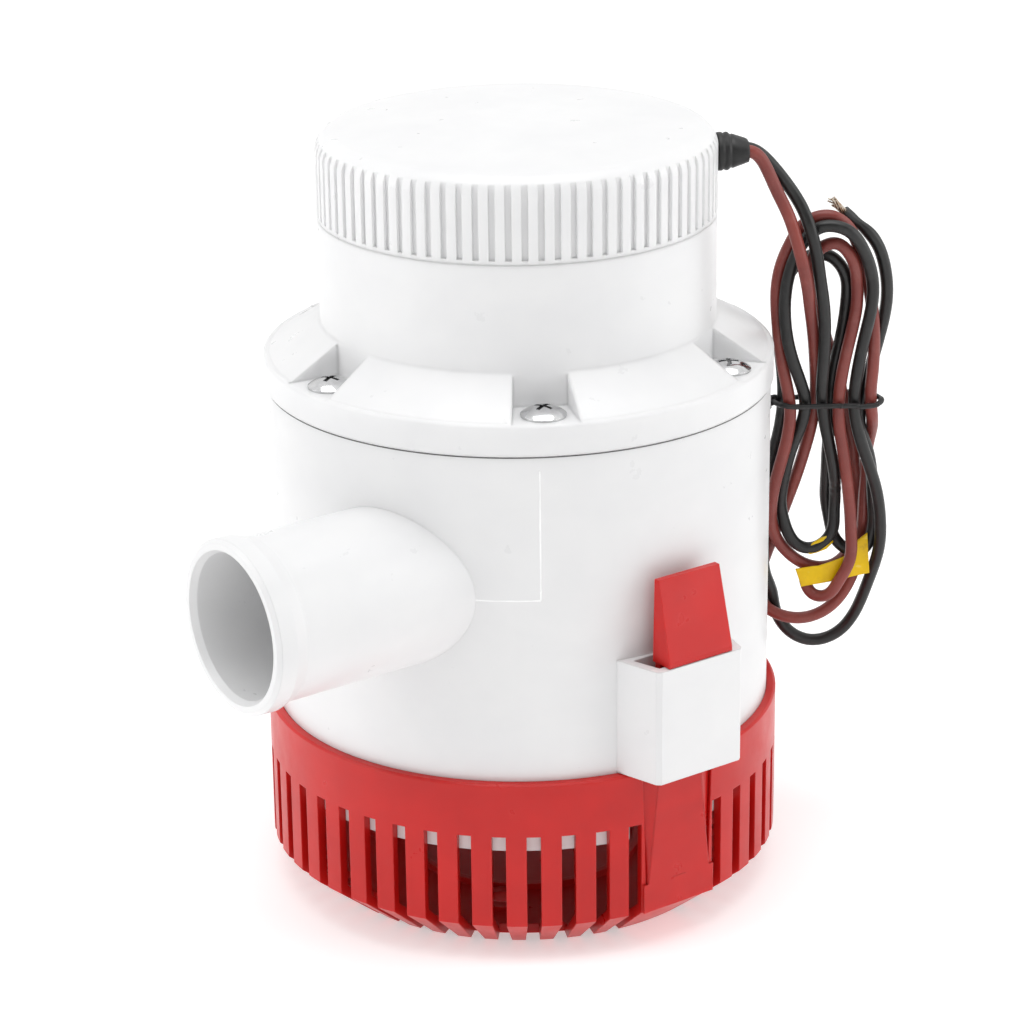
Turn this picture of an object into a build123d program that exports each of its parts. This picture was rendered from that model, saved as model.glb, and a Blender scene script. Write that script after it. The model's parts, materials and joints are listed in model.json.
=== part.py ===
from build123d import *
import os
from math import cos, radians, sin, sqrt

os.makedirs("parts", exist_ok=True)

# ---------------------------------------------------------------------------
# Submersible bilge pump.  Millimetres, +Z up.  The origin is the centre of the
# underside of the strainer base, which is the face that stands on the hull.
# The hose spigot points along -X.  The two latches face -Y (front) and +Y
# (rear).  "side" is -1 at the front and +1 at the rear.
# Outlines are (radius, height) unless their comment says otherwise.
# ---------------------------------------------------------------------------

# strainer base
BASE_R = 62.0            # outside of the basket wall
BASE_WALL = 2.2
BASE_BORE = BASE_R - BASE_WALL
BASE_FOOT_R = 50.0       # flat underside
BASE_CHAMFER_Z = 9.8
BASE_TOP = 45.9
FLOOR_T = 2.4
SLOT_W = 3.3
SLOT_TOP = 32.7
SLOT_COUNT = 48          # full circle pitch; two are left out under each latch
LEDGE_BOTTOM = 8.6
SKIRT_BOTTOM = 28.1      # the pump skirt rests on ledges at this height
MOUNT_PCD = 70.0
MOUNT_HOLE = 5.2         # diameter

# housing
BODY_R = 59.7
BODY_WALL = 2.6
BODY_BORE = BODY_R - BODY_WALL
BODY_TOP = 124.7
CHAMBER_R = 40.0
CHAMBER_WALL = 2.6
CHAMBER_OUTER = CHAMBER_R + CHAMBER_WALL
CHAMBER_FLOOR = 70.0
CHAMBER_RIM_R = CHAMBER_R + 6.5
DECK_TOP = 112.5
DECK_T = 2.6
DECK_BOTTOM = DECK_TOP - DECK_T

# outlet spigot
OUT_Y = -22.7
OUT_Z = 90.6
OUT_R = 19.0
OUT_BORE = 16.9          # radius
OUT_END = -95.4
OUT_BORE_END = -5.0      # x at which the bore stops inside the chamber
BEAD_R = 20.2

# intake plate and its screws
INTAKE_BOTTOM = 66.6
INTAKE_SCREW_R = CHAMBER_R + 3.8
INTAKE_SCREW_ANGLES = [60, 150, 240, 330]

# motor housing
FLANGE_R = 60.3
FLANGE_TOP = 132.3
NECK_R = 46.7
NECK_BASE = 139.5
NECK_BORE = 44.1         # radius
NECK_TOP = 164.8
SCREW_PCR = 53.0
SCREW_COUNT = 6
SCREW_START = -120
SCREW_SEAT_Z = FLANGE_TOP - 0.3
SCREW_BOSS_R = 4.6

# cap
CAP_RIB_TOP = 180.5
CAP_TOP = 186.0
GROOVE_COUNT = 80
GROOVE_W = 1.4
GROOVE_D = 0.9

# latches
HINGE_R = 60.85          # radial position of the flex line of each finger
HINGE_Z = 17.45
KNUCKLE_R = 1.05
LATCH_SILL_Z = HINGE_Z - 0.45
SOCKET_FRONT = 69.6
SOCKET_TOP = 74.0
SOCKET_BOTTOM = 46.1

# shaft and motor
SHAFT_R = 4.0
SHAFT_FIT = SHAFT_R + 0.02
SEAL_FIT = SHAFT_R + 0.03
THREAD_R = 3.0           # threaded end of the shaft
WASHER_BOTTOM = 77.2
WASHER_TOP = 78.2
IMPELLER_R = 33.0
IMPELLER_BOTTOM = 78.4
BEARING_R = 10.98
FRONT_BEARING_Z = 113.2  # undersides of the bearings
REAR_BEARING_Z = 167.2
CAN_R = 37.0
CAN_BORE = 34.7
CAN_BOTTOM = 118.8
CAN_TOP = 166.0
BELL_TOP = 170.0
BOLT_PCR = 39.4
BOLT_START = 30          # the second through-bolt is opposite
CORE_BOTTOM = 127.0
CORE_LENGTH = 24.0
CORE_TOP = CORE_BOTTOM + CORE_LENGTH
ARMATURE_SLOTS = 12
WINDING_SLOT_R = 20.0    # pitch radius
BRUSH_Z = 162.0
BRUSH_HEIGHT = 7.2

# leads and cable gland
LEAD_R = 1.5
GLAND_Z = 176.8
GLAND_DIR = -30.0        # polar direction of the cable gland, from +X
GLAND_X = cos(radians(GLAND_DIR))
GLAND_Y = sin(radians(GLAND_DIR))
GLAND = Plane(
    origin=(0, 0, GLAND_Z), x_dir=(-GLAND_Y, GLAND_X, 0), z_dir=(GLAND_X, GLAND_Y, 0)
)


def save(builder, name):
    """Label the finished piece and write its STEP file."""
    builder.part.label = name
    export_step(builder.part, f"parts/{name}.step")


def polar_point(radius, angle):
    return radius * cos(radians(angle)), radius * sin(radians(angle))


def spokes(radius, angles):
    """Locations at a radius, each turned to face along its own angle."""
    return [Rotation(0, 0, angle) * Pos(radius, 0) for angle in angles]


def mirrored(half):
    """Half an outline followed by its mirror image in x, in running order."""
    return half + [(-x, y) for x, y in reversed(half)]


# --------------------------------------------------------------- strainer base
SLOT_ANGLES = [(i + 0.5) * 360 / SLOT_COUNT for i in range(SLOT_COUNT)]
OPEN_SLOT_ANGLES = [a for a in SLOT_ANGLES if min(abs(a - 90), abs(a - 270)) > 5]
SLOT_LENGTH = 18.8
LOCATING_RING = (28.9, 27.3, 1.6)    # outside radius, inside radius, height
PANEL_W = 20.6
PANEL_T = 2.2
LATCH_W = 18.6                       # width of the opening at the sill
MOUNT_PAD = (5.4, 1.2)               # radius, height

with BuildPart() as strainer_base:
    with BuildSketch(Plane.XZ):
        with BuildLine():
            Polyline(
                (0, 0), (BASE_FOOT_R, 0), (BASE_R, BASE_CHAMFER_Z), (BASE_R, BASE_TOP - 0.5),
                (BASE_R - 0.5, BASE_TOP), (BASE_BORE, BASE_TOP), (BASE_BORE, 11.2),
                (BASE_FOOT_R - 0.9, FLOOR_T), (0, FLOOR_T), close=True,
            )
        make_face()
    revolve(axis=Axis.Z)
    # raised locating ring on the floor
    with BuildSketch(Plane.XY.offset(FLOOR_T)):
        Circle(LOCATING_RING[0])
        Circle(LOCATING_RING[1], mode=Mode.SUBTRACT)
    extrude(amount=LOCATING_RING[2])
    # drain slots, running out through the bottom chamfer and notching the floor edge
    with BuildSketch(Plane.XY.offset(-1)):
        with Locations(*spokes(BASE_FOOT_R + 5.8, OPEN_SLOT_ANGLES)):
            Rectangle(SLOT_LENGTH, SLOT_W)
    extrude(amount=SLOT_TOP + 1, mode=Mode.SUBTRACT)
    # four ledges that carry the pump skirt
    with BuildSketch(Plane.XY.offset(LEDGE_BOTTOM)):
        with PolarLocations(BASE_BORE - 1.7, 4, start_angle=45):
            Rectangle(3.6, 3.0)
    extrude(amount=SKIRT_BOTTOM - LEDGE_BOTTOM)
    for side in (-1, 1):
        # flat latch panel
        with BuildSketch(Plane.XY.offset(BASE_CHAMFER_Z)):
            with Locations((0, side * (BASE_R - 1.2))):
                Rectangle(PANEL_W, PANEL_T)
        extrude(amount=LATCH_SILL_Z - BASE_CHAMFER_Z)
        # opening for the finger, with sloping sides; (x, z)
        with BuildSketch(Plane.XZ.offset(-side * 57.0)):
            with BuildLine():
                Polyline(
                    (-LATCH_W / 2, LATCH_SILL_Z), (LATCH_W / 2, LATCH_SILL_Z),
                    (LATCH_W / 2 + 1, BASE_TOP + 1), (-LATCH_W / 2 - 1, BASE_TOP + 1),
                    close=True,
                )
            make_face()
        extrude(amount=-side * 7, mode=Mode.SUBTRACT)
        # trough that seats the knuckle of the finger
        with BuildSketch(Plane.YZ.offset(-LATCH_W / 2)):
            with Locations((side * HINGE_R, HINGE_Z)):
                Circle(KNUCKLE_R + 0.08)
        extrude(amount=LATCH_W, mode=Mode.SUBTRACT)
    # pads and fixing holes to the hull
    with BuildSketch(Plane.XY.offset(FLOOR_T)):
        with PolarLocations(MOUNT_PCD / 2, 4, start_angle=45):
            Circle(MOUNT_PAD[0])
    extrude(amount=MOUNT_PAD[1])
    with BuildSketch(Plane.XY.offset(-1)):
        with PolarLocations(MOUNT_PCD / 2, 4, start_angle=45):
            Circle(MOUNT_HOLE / 2)
    extrude(amount=8, mode=Mode.SUBTRACT)
save(strainer_base, "strainer_base")

# -------------------------------------------------------------- latch fingers
FINGER_PROFILE = [
    (59.80, HINGE_Z), (59.80, 42.5), (63.3, 47.5), (63.3, 94.1), (64.9, 94.1), (69.4, 75.4),
    (69.4, 74.15), (65.3, 74.15), (65.3, 46.8), (61.9, 42.2), (61.9, HINGE_Z),
]
# face-on outline, (x, z)
FINGER_FRONT = mirrored([
    (9.2, HINGE_Z - 2), (6.1, 43.5), (6.1, 46.0), (8.4, 49.5), (8.4, 74.15), (9.1, 74.15),
    (8.7, 95.0),
])
FINGER_WEB = [(8.3, 23.2), (6.2, 42.4), (4.6, 42.4), (6.7, 23.2)]    # (x, z)
FINGER_BLANK_W = 19


def latch_finger(side, name):
    """Side profile trimmed to the face-on outline, with two webs on the inner face."""
    with BuildPart() as finger:
        with BuildSketch(Plane.YZ.offset(-FINGER_BLANK_W / 2)):
            with BuildLine():
                Polyline(*[(side * radius, z) for radius, z in FINGER_PROFILE], close=True)
            make_face()
            with Locations((side * HINGE_R, HINGE_Z)):
                Circle(KNUCKLE_R)
        extrude(amount=FINGER_BLANK_W)
        with BuildSketch(Plane.XZ.offset(-side * 55)):
            with BuildLine():
                Polyline(*FINGER_FRONT, close=True)
            make_face()
        extrude(amount=-side * 17, mode=Mode.INTERSECT)
        with BuildSketch(Plane.XZ.offset(-side * 57.4)):
            for edge in (1, -1):
                with BuildLine():
                    Polyline(*[(edge * x, z) for x, z in FINGER_WEB], close=True)
                make_face()
        extrude(amount=-side * 2.6)
    save(finger, name)


latch_finger(-1, "latch_finger_front")
latch_finger(1, "latch_finger_rear")

# ------------------------------------------------------------ volute housing
WEB_ANGLES = [15, 75, 105, 165, 285, 345]
# half outlines of the latch sockets from above, (x, distance from the XZ plane)
SOCKET_OUTER = mirrored([
    (-15.2, 57.3), (-15.2, 57.7), (-12.4, SOCKET_FRONT - 0.9), (-11.4, SOCKET_FRONT),
])
SOCKET_INNER = mirrored([(-12.3, 60.2), (-10.3, 67.3)])
SKIRT_CUT_W = 24.0

with BuildPart() as volute_housing:
    with BuildSketch(Plane.XZ):
        with BuildLine():
            Polyline(
                (BODY_BORE, SKIRT_BOTTOM), (BODY_R - 0.2, SKIRT_BOTTOM),
                (BODY_R, SKIRT_BOTTOM + 0.6), (BODY_R, BODY_TOP - 0.3),
                (BODY_R - 0.3, BODY_TOP), (BODY_BORE, BODY_TOP), (BODY_BORE, DECK_TOP),
                (CHAMBER_R, DECK_TOP), (CHAMBER_R, CHAMBER_FLOOR),
                (CHAMBER_RIM_R, CHAMBER_FLOOR), (CHAMBER_RIM_R, CHAMBER_FLOOR + 2.5),
                (CHAMBER_OUTER, CHAMBER_FLOOR + 5.0), (CHAMBER_OUTER, DECK_BOTTOM),
                (BODY_BORE, DECK_BOTTOM), close=True,
            )
        make_face()
    revolve(axis=Axis.Z)
    # outlet spigot with its retaining bead; (x, y)
    with BuildSketch(Plane.XY.offset(OUT_Z)):
        with BuildLine():
            Polyline(
                (-8, OUT_Y), (OUT_END, OUT_Y), (OUT_END, OUT_Y + BEAD_R - 1.0),
                (OUT_END + 0.8, OUT_Y + BEAD_R), (OUT_END + 4.8, OUT_Y + BEAD_R),
                (OUT_END + 8.2, OUT_Y + OUT_R), (-8, OUT_Y + OUT_R), close=True,
            )
        make_face()
    revolve(axis=Axis((0, OUT_Y, OUT_Z), (1, 0, 0)))
    # six bosses under the flange screws, tied to the skirt
    with BuildSketch(Plane.XY.offset(BODY_TOP)):
        with PolarLocations(SCREW_PCR, SCREW_COUNT, start_angle=SCREW_START):
            Circle(SCREW_BOSS_R)
        with PolarLocations(SCREW_PCR + 2.4, SCREW_COUNT, start_angle=SCREW_START):
            Rectangle(4.8, 3.0)
    extrude(amount=-16)
    # four bosses for the intake plate
    with BuildSketch(Plane.XY.offset(CHAMBER_FLOOR)):
        with Locations(*spokes(INTAKE_SCREW_R, INTAKE_SCREW_ANGLES)):
            Circle(3.4)
    extrude(amount=10)
    # radial webs between the pump chamber and the outer skirt
    with BuildSketch(Plane.XY.offset(DECK_BOTTOM)):
        with Locations(*spokes(CHAMBER_R + 9.6, WEB_ANGLES)):
            Rectangle(16.2, 2.0)
    extrude(amount=-12)
    # pump chamber and outlet bore
    with BuildSketch(Plane.XY.offset(CHAMBER_FLOOR - 1)):
        Circle(CHAMBER_R)
    extrude(amount=DECK_TOP - CHAMBER_FLOOR + 2, mode=Mode.SUBTRACT)
    with BuildSketch(Plane.YZ.offset(OUT_END - 1)):
        with Locations((OUT_Y, OUT_Z)):
            Circle(OUT_BORE)
    extrude(amount=OUT_BORE_END - OUT_END + 1, mode=Mode.SUBTRACT)
    # countersunk mouth of the spigot
    with BuildSketch(Plane.YZ.offset(OUT_END)):
        with Locations((OUT_Y, OUT_Z)):
            Circle(OUT_BORE + 0.8)
    extrude(amount=1.6, taper=26.56, mode=Mode.SUBTRACT)
    # screw holes
    with BuildSketch(Plane.XY.offset(BODY_TOP + 1)):
        with PolarLocations(SCREW_PCR, SCREW_COUNT, start_angle=SCREW_START):
            Circle(2.05)
    extrude(amount=-14, mode=Mode.SUBTRACT)
    with BuildSketch(Plane.XY.offset(CHAMBER_FLOOR - 1)):
        with Locations(*spokes(INTAKE_SCREW_R, INTAKE_SCREW_ANGLES)):
            Circle(1.55)
    extrude(amount=9.4, mode=Mode.SUBTRACT)
    # open-ended latch sockets
    for side in (-1, 1):
        with BuildSketch(Plane.XY.offset(SOCKET_BOTTOM)):
            with BuildLine():
                Polyline(*[(x, side * y) for x, y in SOCKET_OUTER], close=True)
            make_face()
        extrude(amount=SOCKET_TOP - SOCKET_BOTTOM)
        with BuildSketch(Plane.XY.offset(SOCKET_BOTTOM - 1)):
            with BuildLine():
                Polyline(*[(x, side * y) for x, y in SOCKET_INNER], close=True)
            make_face()
        extrude(amount=SOCKET_TOP - SOCKET_BOTTOM + 2, mode=Mode.SUBTRACT)
        # the skirt is cut away behind each finger
        with BuildSketch(Plane.XZ.offset(-side * 50)):
            with Locations((0, (SKIRT_BOTTOM + SOCKET_BOTTOM) / 2 - 1)):
                Rectangle(SKIRT_CUT_W, SOCKET_BOTTOM - SKIRT_BOTTOM + 2)
        extrude(amount=-side * 14, mode=Mode.SUBTRACT)
save(volute_housing, "volute_housing")

# -------------------------------------------------------------- intake plate
INTAKE_LIP_Z = 60.0
PLATE_R = CHAMBER_R - 0.1    # step that enters the chamber

with BuildPart() as intake_plate:
    with BuildSketch(Plane.XZ):
        with BuildLine():
            Polyline(
                (20.5, INTAKE_LIP_Z), (22.5, INTAKE_LIP_Z), (19.6, INTAKE_BOTTOM),
                (CHAMBER_RIM_R, INTAKE_BOTTOM), (CHAMBER_RIM_R, CHAMBER_FLOOR),
                (PLATE_R, CHAMBER_FLOOR), (PLATE_R, CHAMBER_FLOOR + 1.2),
                (17.0, CHAMBER_FLOOR + 1.2), (17.0, 67.0), close=True,
            )
        make_face()
    revolve(axis=Axis.Z)
    # screw clearance holes
    with BuildSketch(Plane.XY.offset(INTAKE_LIP_Z)):
        with Locations(*spokes(INTAKE_SCREW_R, INTAKE_SCREW_ANGLES)):
            Circle(1.75)
    extrude(amount=12, mode=Mode.SUBTRACT)
save(intake_plate, "intake_plate")

# ------------------------------------------------------------- intake screws
INTAKE_HEAD = (3.0, 2.2)             # radius, height
INTAKE_SHANK = (1.5, 10.6)           # radius, length
INTAKE_RECESS = (3.4, 0.8, 1.2)      # cross recess: span, width, depth

with BuildPart() as intake_screws:
    for angle in INTAKE_SCREW_ANGLES:
        centre = polar_point(INTAKE_SCREW_R, angle)
        with BuildSketch(Plane.XY.offset(INTAKE_BOTTOM)):
            with Locations(centre):
                Circle(INTAKE_HEAD[0])
        extrude(amount=-INTAKE_HEAD[1])
        with BuildSketch(Plane.XY.offset(INTAKE_BOTTOM)):
            with Locations(centre):
                Circle(INTAKE_SHANK[0])
        extrude(amount=INTAKE_SHANK[1])
        with BuildSketch(Plane.XY.offset(INTAKE_BOTTOM - INTAKE_HEAD[1])):
            with Locations(centre):
                Rectangle(INTAKE_RECESS[0], INTAKE_RECESS[1])
                Rectangle(INTAKE_RECESS[1], INTAKE_RECESS[0])
        extrude(amount=INTAKE_RECESS[2], mode=Mode.SUBTRACT)
save(intake_screws, "intake_screws")

# ------------------------------------------------------------- motor housing
PLUG_R = CHAMBER_R - 0.15            # ring that enters the chamber
REGISTER_R = BODY_BORE - 0.2         # rim that enters the body
MOTOR_HOUSING_OUTLINE = [
    # bulkhead, seal boss and plug underneath
    (6.0, 111.5), (11.0, 111.5), (11.0, 103.0), (16.0, 103.0), (16.0, DECK_TOP - 0.6),
    (36.4, DECK_TOP - 0.6), (36.4, 107.0), (PLUG_R, 107.0), (PLUG_R, 108.4), (38.2, 108.4),
    (38.2, 111.0), (PLUG_R, 111.0), (PLUG_R, DECK_TOP),
    # flange
    (NECK_R, DECK_TOP), (NECK_R, 129.4), (REGISTER_R, 128.6), (REGISTER_R, BODY_TOP),
    (FLANGE_R - 0.4, BODY_TOP), (FLANGE_R, BODY_TOP + 0.4), (FLANGE_R, FLANGE_TOP - 0.6),
    (FLANGE_R - 0.6, FLANGE_TOP), (FLANGE_R - 1.4, FLANGE_TOP),
    # cone and neck
    (NECK_R + 0.4, NECK_BASE), (NECK_R, NECK_BASE + 0.4), (NECK_R, NECK_TOP),
    # inside, down to the bearing seat
    (NECK_BORE, NECK_TOP), (NECK_BORE, 122.0), (37.15, 122.0), (37.15, 116.0), (14.1, 116.0),
    (14.1, 112.7), (6.0, 112.7),
]

with BuildPart() as motor_housing:
    with BuildSketch(Plane.XZ):
        with BuildLine():
            Polyline(*MOTOR_HOUSING_OUTLINE, close=True)
        make_face()
    revolve(axis=Axis.Z)
    # screw columns under the flange
    with BuildSketch(Plane.XY.offset(BODY_TOP)):
        with PolarLocations(SCREW_PCR, SCREW_COUNT, start_angle=SCREW_START):
            Circle(SCREW_BOSS_R)
        with PolarLocations(SCREW_PCR - 3.2, SCREW_COUNT, start_angle=SCREW_START):
            Rectangle(6.4, 4.0)
    extrude(amount=6)
    # conduit rib up the neck, under the cable gland
    with BuildSketch(Plane.XY.offset(136.0)):
        with Locations(*spokes(NECK_R - 0.9, [GLAND_DIR])):
            Circle(1.5)
    extrude(amount=25.0)
    # the rib is cleared out of the bore
    with BuildSketch(Plane.XY.offset(135.0)):
        Circle(NECK_BORE)
    extrude(amount=32.0, mode=Mode.SUBTRACT)
    # six flat-bottomed pockets cut back through the cone to the neck
    with BuildSketch(Plane.XY.offset(SCREW_SEAT_Z)):
        with PolarLocations(0, SCREW_COUNT, start_angle=SCREW_START):
            Polygon(
                (NECK_R, -6.2), (FLANGE_R + 2, -8.2), (FLANGE_R + 2, 8.2), (NECK_R, 6.2),
                align=None,
            )
    extrude(amount=9, mode=Mode.SUBTRACT)
    # clearance holes for the flange screws
    with BuildSketch(Plane.XY.offset(BODY_TOP - 1)):
        with PolarLocations(SCREW_PCR, SCREW_COUNT, start_angle=SCREW_START):
            Circle(2.3)
    extrude(amount=12, mode=Mode.SUBTRACT)
    # sockets for the motor through-bolts
    with BuildSketch(Plane.XY.offset(122.5)):
        with PolarLocations(BOLT_PCR, 2, start_angle=BOLT_START):
            Circle(1.35)
    extrude(amount=-9, mode=Mode.SUBTRACT)
save(motor_housing, "motor_housing")

# ------------------------------------------------------------- housing screws
HEAD_R = 5.2
HEAD_H = 2.3
SHANK_R = 2.0
SHANK_L = 18.5
RECESS_SPAN = 4.6
RECESS_W = 1.05

with BuildPart() as housing_screws:
    for i in range(SCREW_COUNT):
        x, y = polar_point(SCREW_PCR, SCREW_START + i * 360 / SCREW_COUNT)
        # domed head
        with BuildSketch(Plane(origin=(x, y, SCREW_SEAT_Z), x_dir=(1, 0, 0), z_dir=(0, -1, 0))):
            with BuildLine():
                Line((0, 0), (HEAD_R, 0))
                Line((HEAD_R, 0), (HEAD_R, 0.5))
                ThreePointArc((HEAD_R, 0.5), (3.2, 1.72), (0, HEAD_H))
                Line((0, HEAD_H), (0, 0))
            make_face()
        revolve(axis=Axis((x, y, 0), (0, 0, 1)))
        with BuildSketch(Plane.XY.offset(SCREW_SEAT_Z)):
            with Locations((x, y)):
                Circle(SHANK_R)
        extrude(amount=-SHANK_L)
        # cross recess, turned differently on each screw
        with BuildSketch(Plane.XY.offset(FLANGE_TOP + 3)):
            with Locations(Location((x, y, 0), (0, 0, 20 + 37 * i))):
                Rectangle(RECESS_SPAN, RECESS_W)
                Rectangle(RECESS_W, RECESS_SPAN)
        extrude(amount=-2.3, mode=Mode.SUBTRACT)
save(housing_screws, "housing_screws")


# ------------------------------------------------------------------ o-rings
def oring(name, radius, height, section_h):
    """Ring of rounded section centred on the given radius and height."""
    with BuildPart() as ring:
        with BuildSketch(Plane.XZ):
            with Locations((radius, height)):
                RectangleRounded(1.76, section_h, 0.8)
        revolve(axis=Axis.Z)
    save(ring, name)


oring("body_oring", radius=39.1, height=109.7, section_h=2.3)
oring("cap_oring", radius=43.2, height=161.2, section_h=2.2)

# ----------------------------------------------------------------- motor cap
DOME_R = NECK_R - 4.2                # radius of the dome's edge
DOME_EDGE_Z = CAP_RIB_TOP + 4.1
DOME_SAG = CAP_TOP - DOME_EDGE_Z
DOME_SPHERE_R = (DOME_R ** 2 + DOME_SAG ** 2) / (2 * DOME_SAG)
DOME_MID_Z = CAP_TOP - (DOME_SPHERE_R - sqrt(DOME_SPHERE_R ** 2 - (DOME_R / 2) ** 2))
CAP_PLUG_R = 43.95                   # fits inside the neck
CAP_INSIDE_Z = 183.2
# underside, o-ring groove and outer band
CAP_OUTLINE = [
    (0, CAP_INSIDE_Z), (42.4, 182.3), (43.4, 181.3), (43.4, NECK_TOP), (41.4, NECK_TOP - 1.0),
    (41.4, 158.6), (CAP_PLUG_R, 158.6), (CAP_PLUG_R, 160.0), (42.3, 160.0), (42.3, 162.4),
    (CAP_PLUG_R, 162.4), (CAP_PLUG_R, NECK_TOP), (NECK_R, NECK_TOP), (NECK_R, CAP_RIB_TOP),
]

with BuildPart() as motor_cap:
    with BuildSketch(Plane.XZ):
        with BuildLine():
            Polyline(*CAP_OUTLINE)
            ThreePointArc(
                (NECK_R, CAP_RIB_TOP), (NECK_R - 1.25, CAP_RIB_TOP + 2.75), (DOME_R, DOME_EDGE_Z)
            )
            ThreePointArc((DOME_R, DOME_EDGE_Z), (DOME_R / 2, DOME_MID_Z), (0, CAP_TOP))
            Line((0, CAP_TOP), (0, CAP_INSIDE_Z))
        make_face()
    revolve(axis=Axis.Z)
    # grip grooves around the band; a plain ledge is left at the bottom
    with BuildSketch(Plane.XY.offset(NECK_TOP + 0.9)):
        with PolarLocations(NECK_R + 0.6, GROOVE_COUNT, start_angle=2.25):
            Rectangle(2 * GROOVE_D + 1.2, GROOVE_W)
    extrude(amount=22, mode=Mode.SUBTRACT)
    # cable gland hole
    with BuildSketch(GLAND.offset(38)):
        Circle(3.4)
    extrude(amount=12, mode=Mode.SUBTRACT)
save(motor_cap, "motor_cap")

# ----------------------------------------------------------------- motor shaft
SHAFT_BOTTOM = 71.0
SHAFT_TOP = 175.1

with BuildPart() as motor_shaft:
    with BuildSketch(Plane.XZ):
        with BuildLine():
            Polyline(
                (0, SHAFT_BOTTOM), (THREAD_R - 0.4, SHAFT_BOTTOM), (THREAD_R, SHAFT_BOTTOM + 0.4),
                (THREAD_R, WASHER_TOP), (SHAFT_R, WASHER_TOP), (SHAFT_R, SHAFT_TOP - 0.5),
                (SHAFT_R - 0.5, SHAFT_TOP), (0, SHAFT_TOP), close=True,
            )
        make_face()
    revolve(axis=Axis.Z)
save(motor_shaft, "motor_shaft")

# ------------------------------------------------------------------- impeller
HUB_TOP = 102.4
VANE_BOTTOM = 73.4
VANE_HEIGHT = 22.2
# one vane from above, (x, y)
VANE_OUTLINE = [
    (8.3, -1.2), (14.0, 2.2), (20.0, 7.6), (25.6, 15.2), (28.6, 16.4),
    (26.8, 13.0), (21.4, 5.4), (15.2, -0.2), (9.0, -3.4),
]

with BuildPart() as impeller:
    # hub and shroud
    with BuildSketch(Plane.XZ):
        with BuildLine():
            Polyline(
                (SHAFT_FIT, IMPELLER_BOTTOM), (7.2, IMPELLER_BOTTOM), (9.0, 84.0), (10.0, 95.0),
                (IMPELLER_R, 95.8), (IMPELLER_R, 98.4), (11.0, 98.4), (9.0, 99.6),
                (9.0, HUB_TOP), (SHAFT_FIT, HUB_TOP), close=True,
            )
        make_face()
    revolve(axis=Axis.Z)
    # six swept vanes
    with BuildSketch(Plane.XY.offset(VANE_BOTTOM)):
        with PolarLocations(0, 6):
            Polygon(*VANE_OUTLINE, align=None)
    extrude(amount=VANE_HEIGHT)
    # relief around the shaft nut
    with BuildSketch(Plane.XY.offset(70)):
        Circle(7.4)
    extrude(amount=IMPELLER_BOTTOM - 70, mode=Mode.SUBTRACT)
save(impeller, "impeller")

# ---------------------------------------------------------------- impeller nut
NUT_BOTTOM = 73.0
NUT_APOTHEM = 5.0
NUT_BORE = THREAD_R + 0.02

with BuildPart() as impeller_nut:
    with BuildSketch(Plane.XY.offset(NUT_BOTTOM)):
        RegularPolygon(radius=NUT_APOTHEM, side_count=6, major_radius=False)
        Circle(NUT_BORE, mode=Mode.SUBTRACT)
    extrude(amount=WASHER_BOTTOM - NUT_BOTTOM)
    # washer
    with BuildSketch(Plane.XY.offset(WASHER_BOTTOM)):
        Circle(6.4)
        Circle(NUT_BORE, mode=Mode.SUBTRACT)
    extrude(amount=WASHER_TOP - WASHER_BOTTOM)
save(impeller_nut, "impeller_nut")

# ------------------------------------------------------------------ shaft seal
SEAL_OUTLINE = [
    (10.95, 105.2), (10.95, 111.4), (7.0, 111.4), (SEAL_FIT, 109.6), (SEAL_FIT, 108.8),
    (6.2, 109.0), (7.6, 110.2), (9.4, 110.2), (9.4, 106.6), (6.6, 106.6), (SEAL_FIT, 105.8),
    (SEAL_FIT, 105.2),
]

with BuildPart() as shaft_seal:
    with BuildSketch(Plane.XZ):
        with BuildLine():
            Polyline(*SEAL_OUTLINE, close=True)
        make_face()
    revolve(axis=Axis.Z)
save(shaft_seal, "shaft_seal")


def flat_ring(name, bottom, height, outer_r, inner_r):
    """Plain ring around the Z axis."""
    with BuildPart() as ring:
        with BuildSketch(Plane.XY.offset(bottom)):
            Circle(outer_r)
            Circle(inner_r, mode=Mode.SUBTRACT)
        extrude(amount=height)
    save(ring, name)


flat_ring("seal_retainer", bottom=103.6, height=1.5, outer_r=10.98, inner_r=5.2)

# ------------------------------------------------------------- bearings
# race outlines, (radius, height above the underside of the bearing)
OUTER_RACE = [
    (8.9, 0), (BEARING_R, 0), (BEARING_R, 6.8), (8.9, 6.8), (8.9, 5.4), (9.7, 4.2),
    (9.7, 2.6), (8.9, 1.4),
]
INNER_RACE = [
    (SHAFT_FIT, 0), (6.0, 0), (6.0, 1.4), (5.4, 2.6), (5.4, 4.2), (6.0, 5.4), (6.0, 6.8),
    (SHAFT_FIT, 6.8),
]
BALL_COUNT = 8
BALL_R = 1.9
BALL_PCR = 7.5
BALL_HEIGHT = 3.4


def bearing(name, bottom):
    with BuildPart() as ball_bearing:
        with BuildSketch(Plane.XZ):
            for race in (OUTER_RACE, INNER_RACE):
                with BuildLine():
                    Polyline(*[(radius, bottom + z) for radius, z in race], close=True)
                make_face()
        revolve(axis=Axis.Z)
        with Locations((0, 0, bottom + BALL_HEIGHT)):
            with PolarLocations(BALL_PCR, BALL_COUNT):
                Sphere(BALL_R)
    save(ball_bearing, name)


bearing("front_bearing", FRONT_BEARING_Z)
bearing("rear_bearing", REAR_BEARING_Z)

# --------------------------------------------------------------- motor shell
FRONT_PLATE_OUTLINE = [
    (11.0, 113.0), (13.9, 113.0), (13.9, 116.2), (CAN_R, 116.2), (CAN_R, CAN_BOTTOM),
    (CAN_BORE, CAN_BOTTOM), (CAN_BORE, 120.8), (14.5, 120.8), (12.5, 121.4), (8.0, 121.4),
    (8.0, 120.1), (11.0, 120.1),
]

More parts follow.
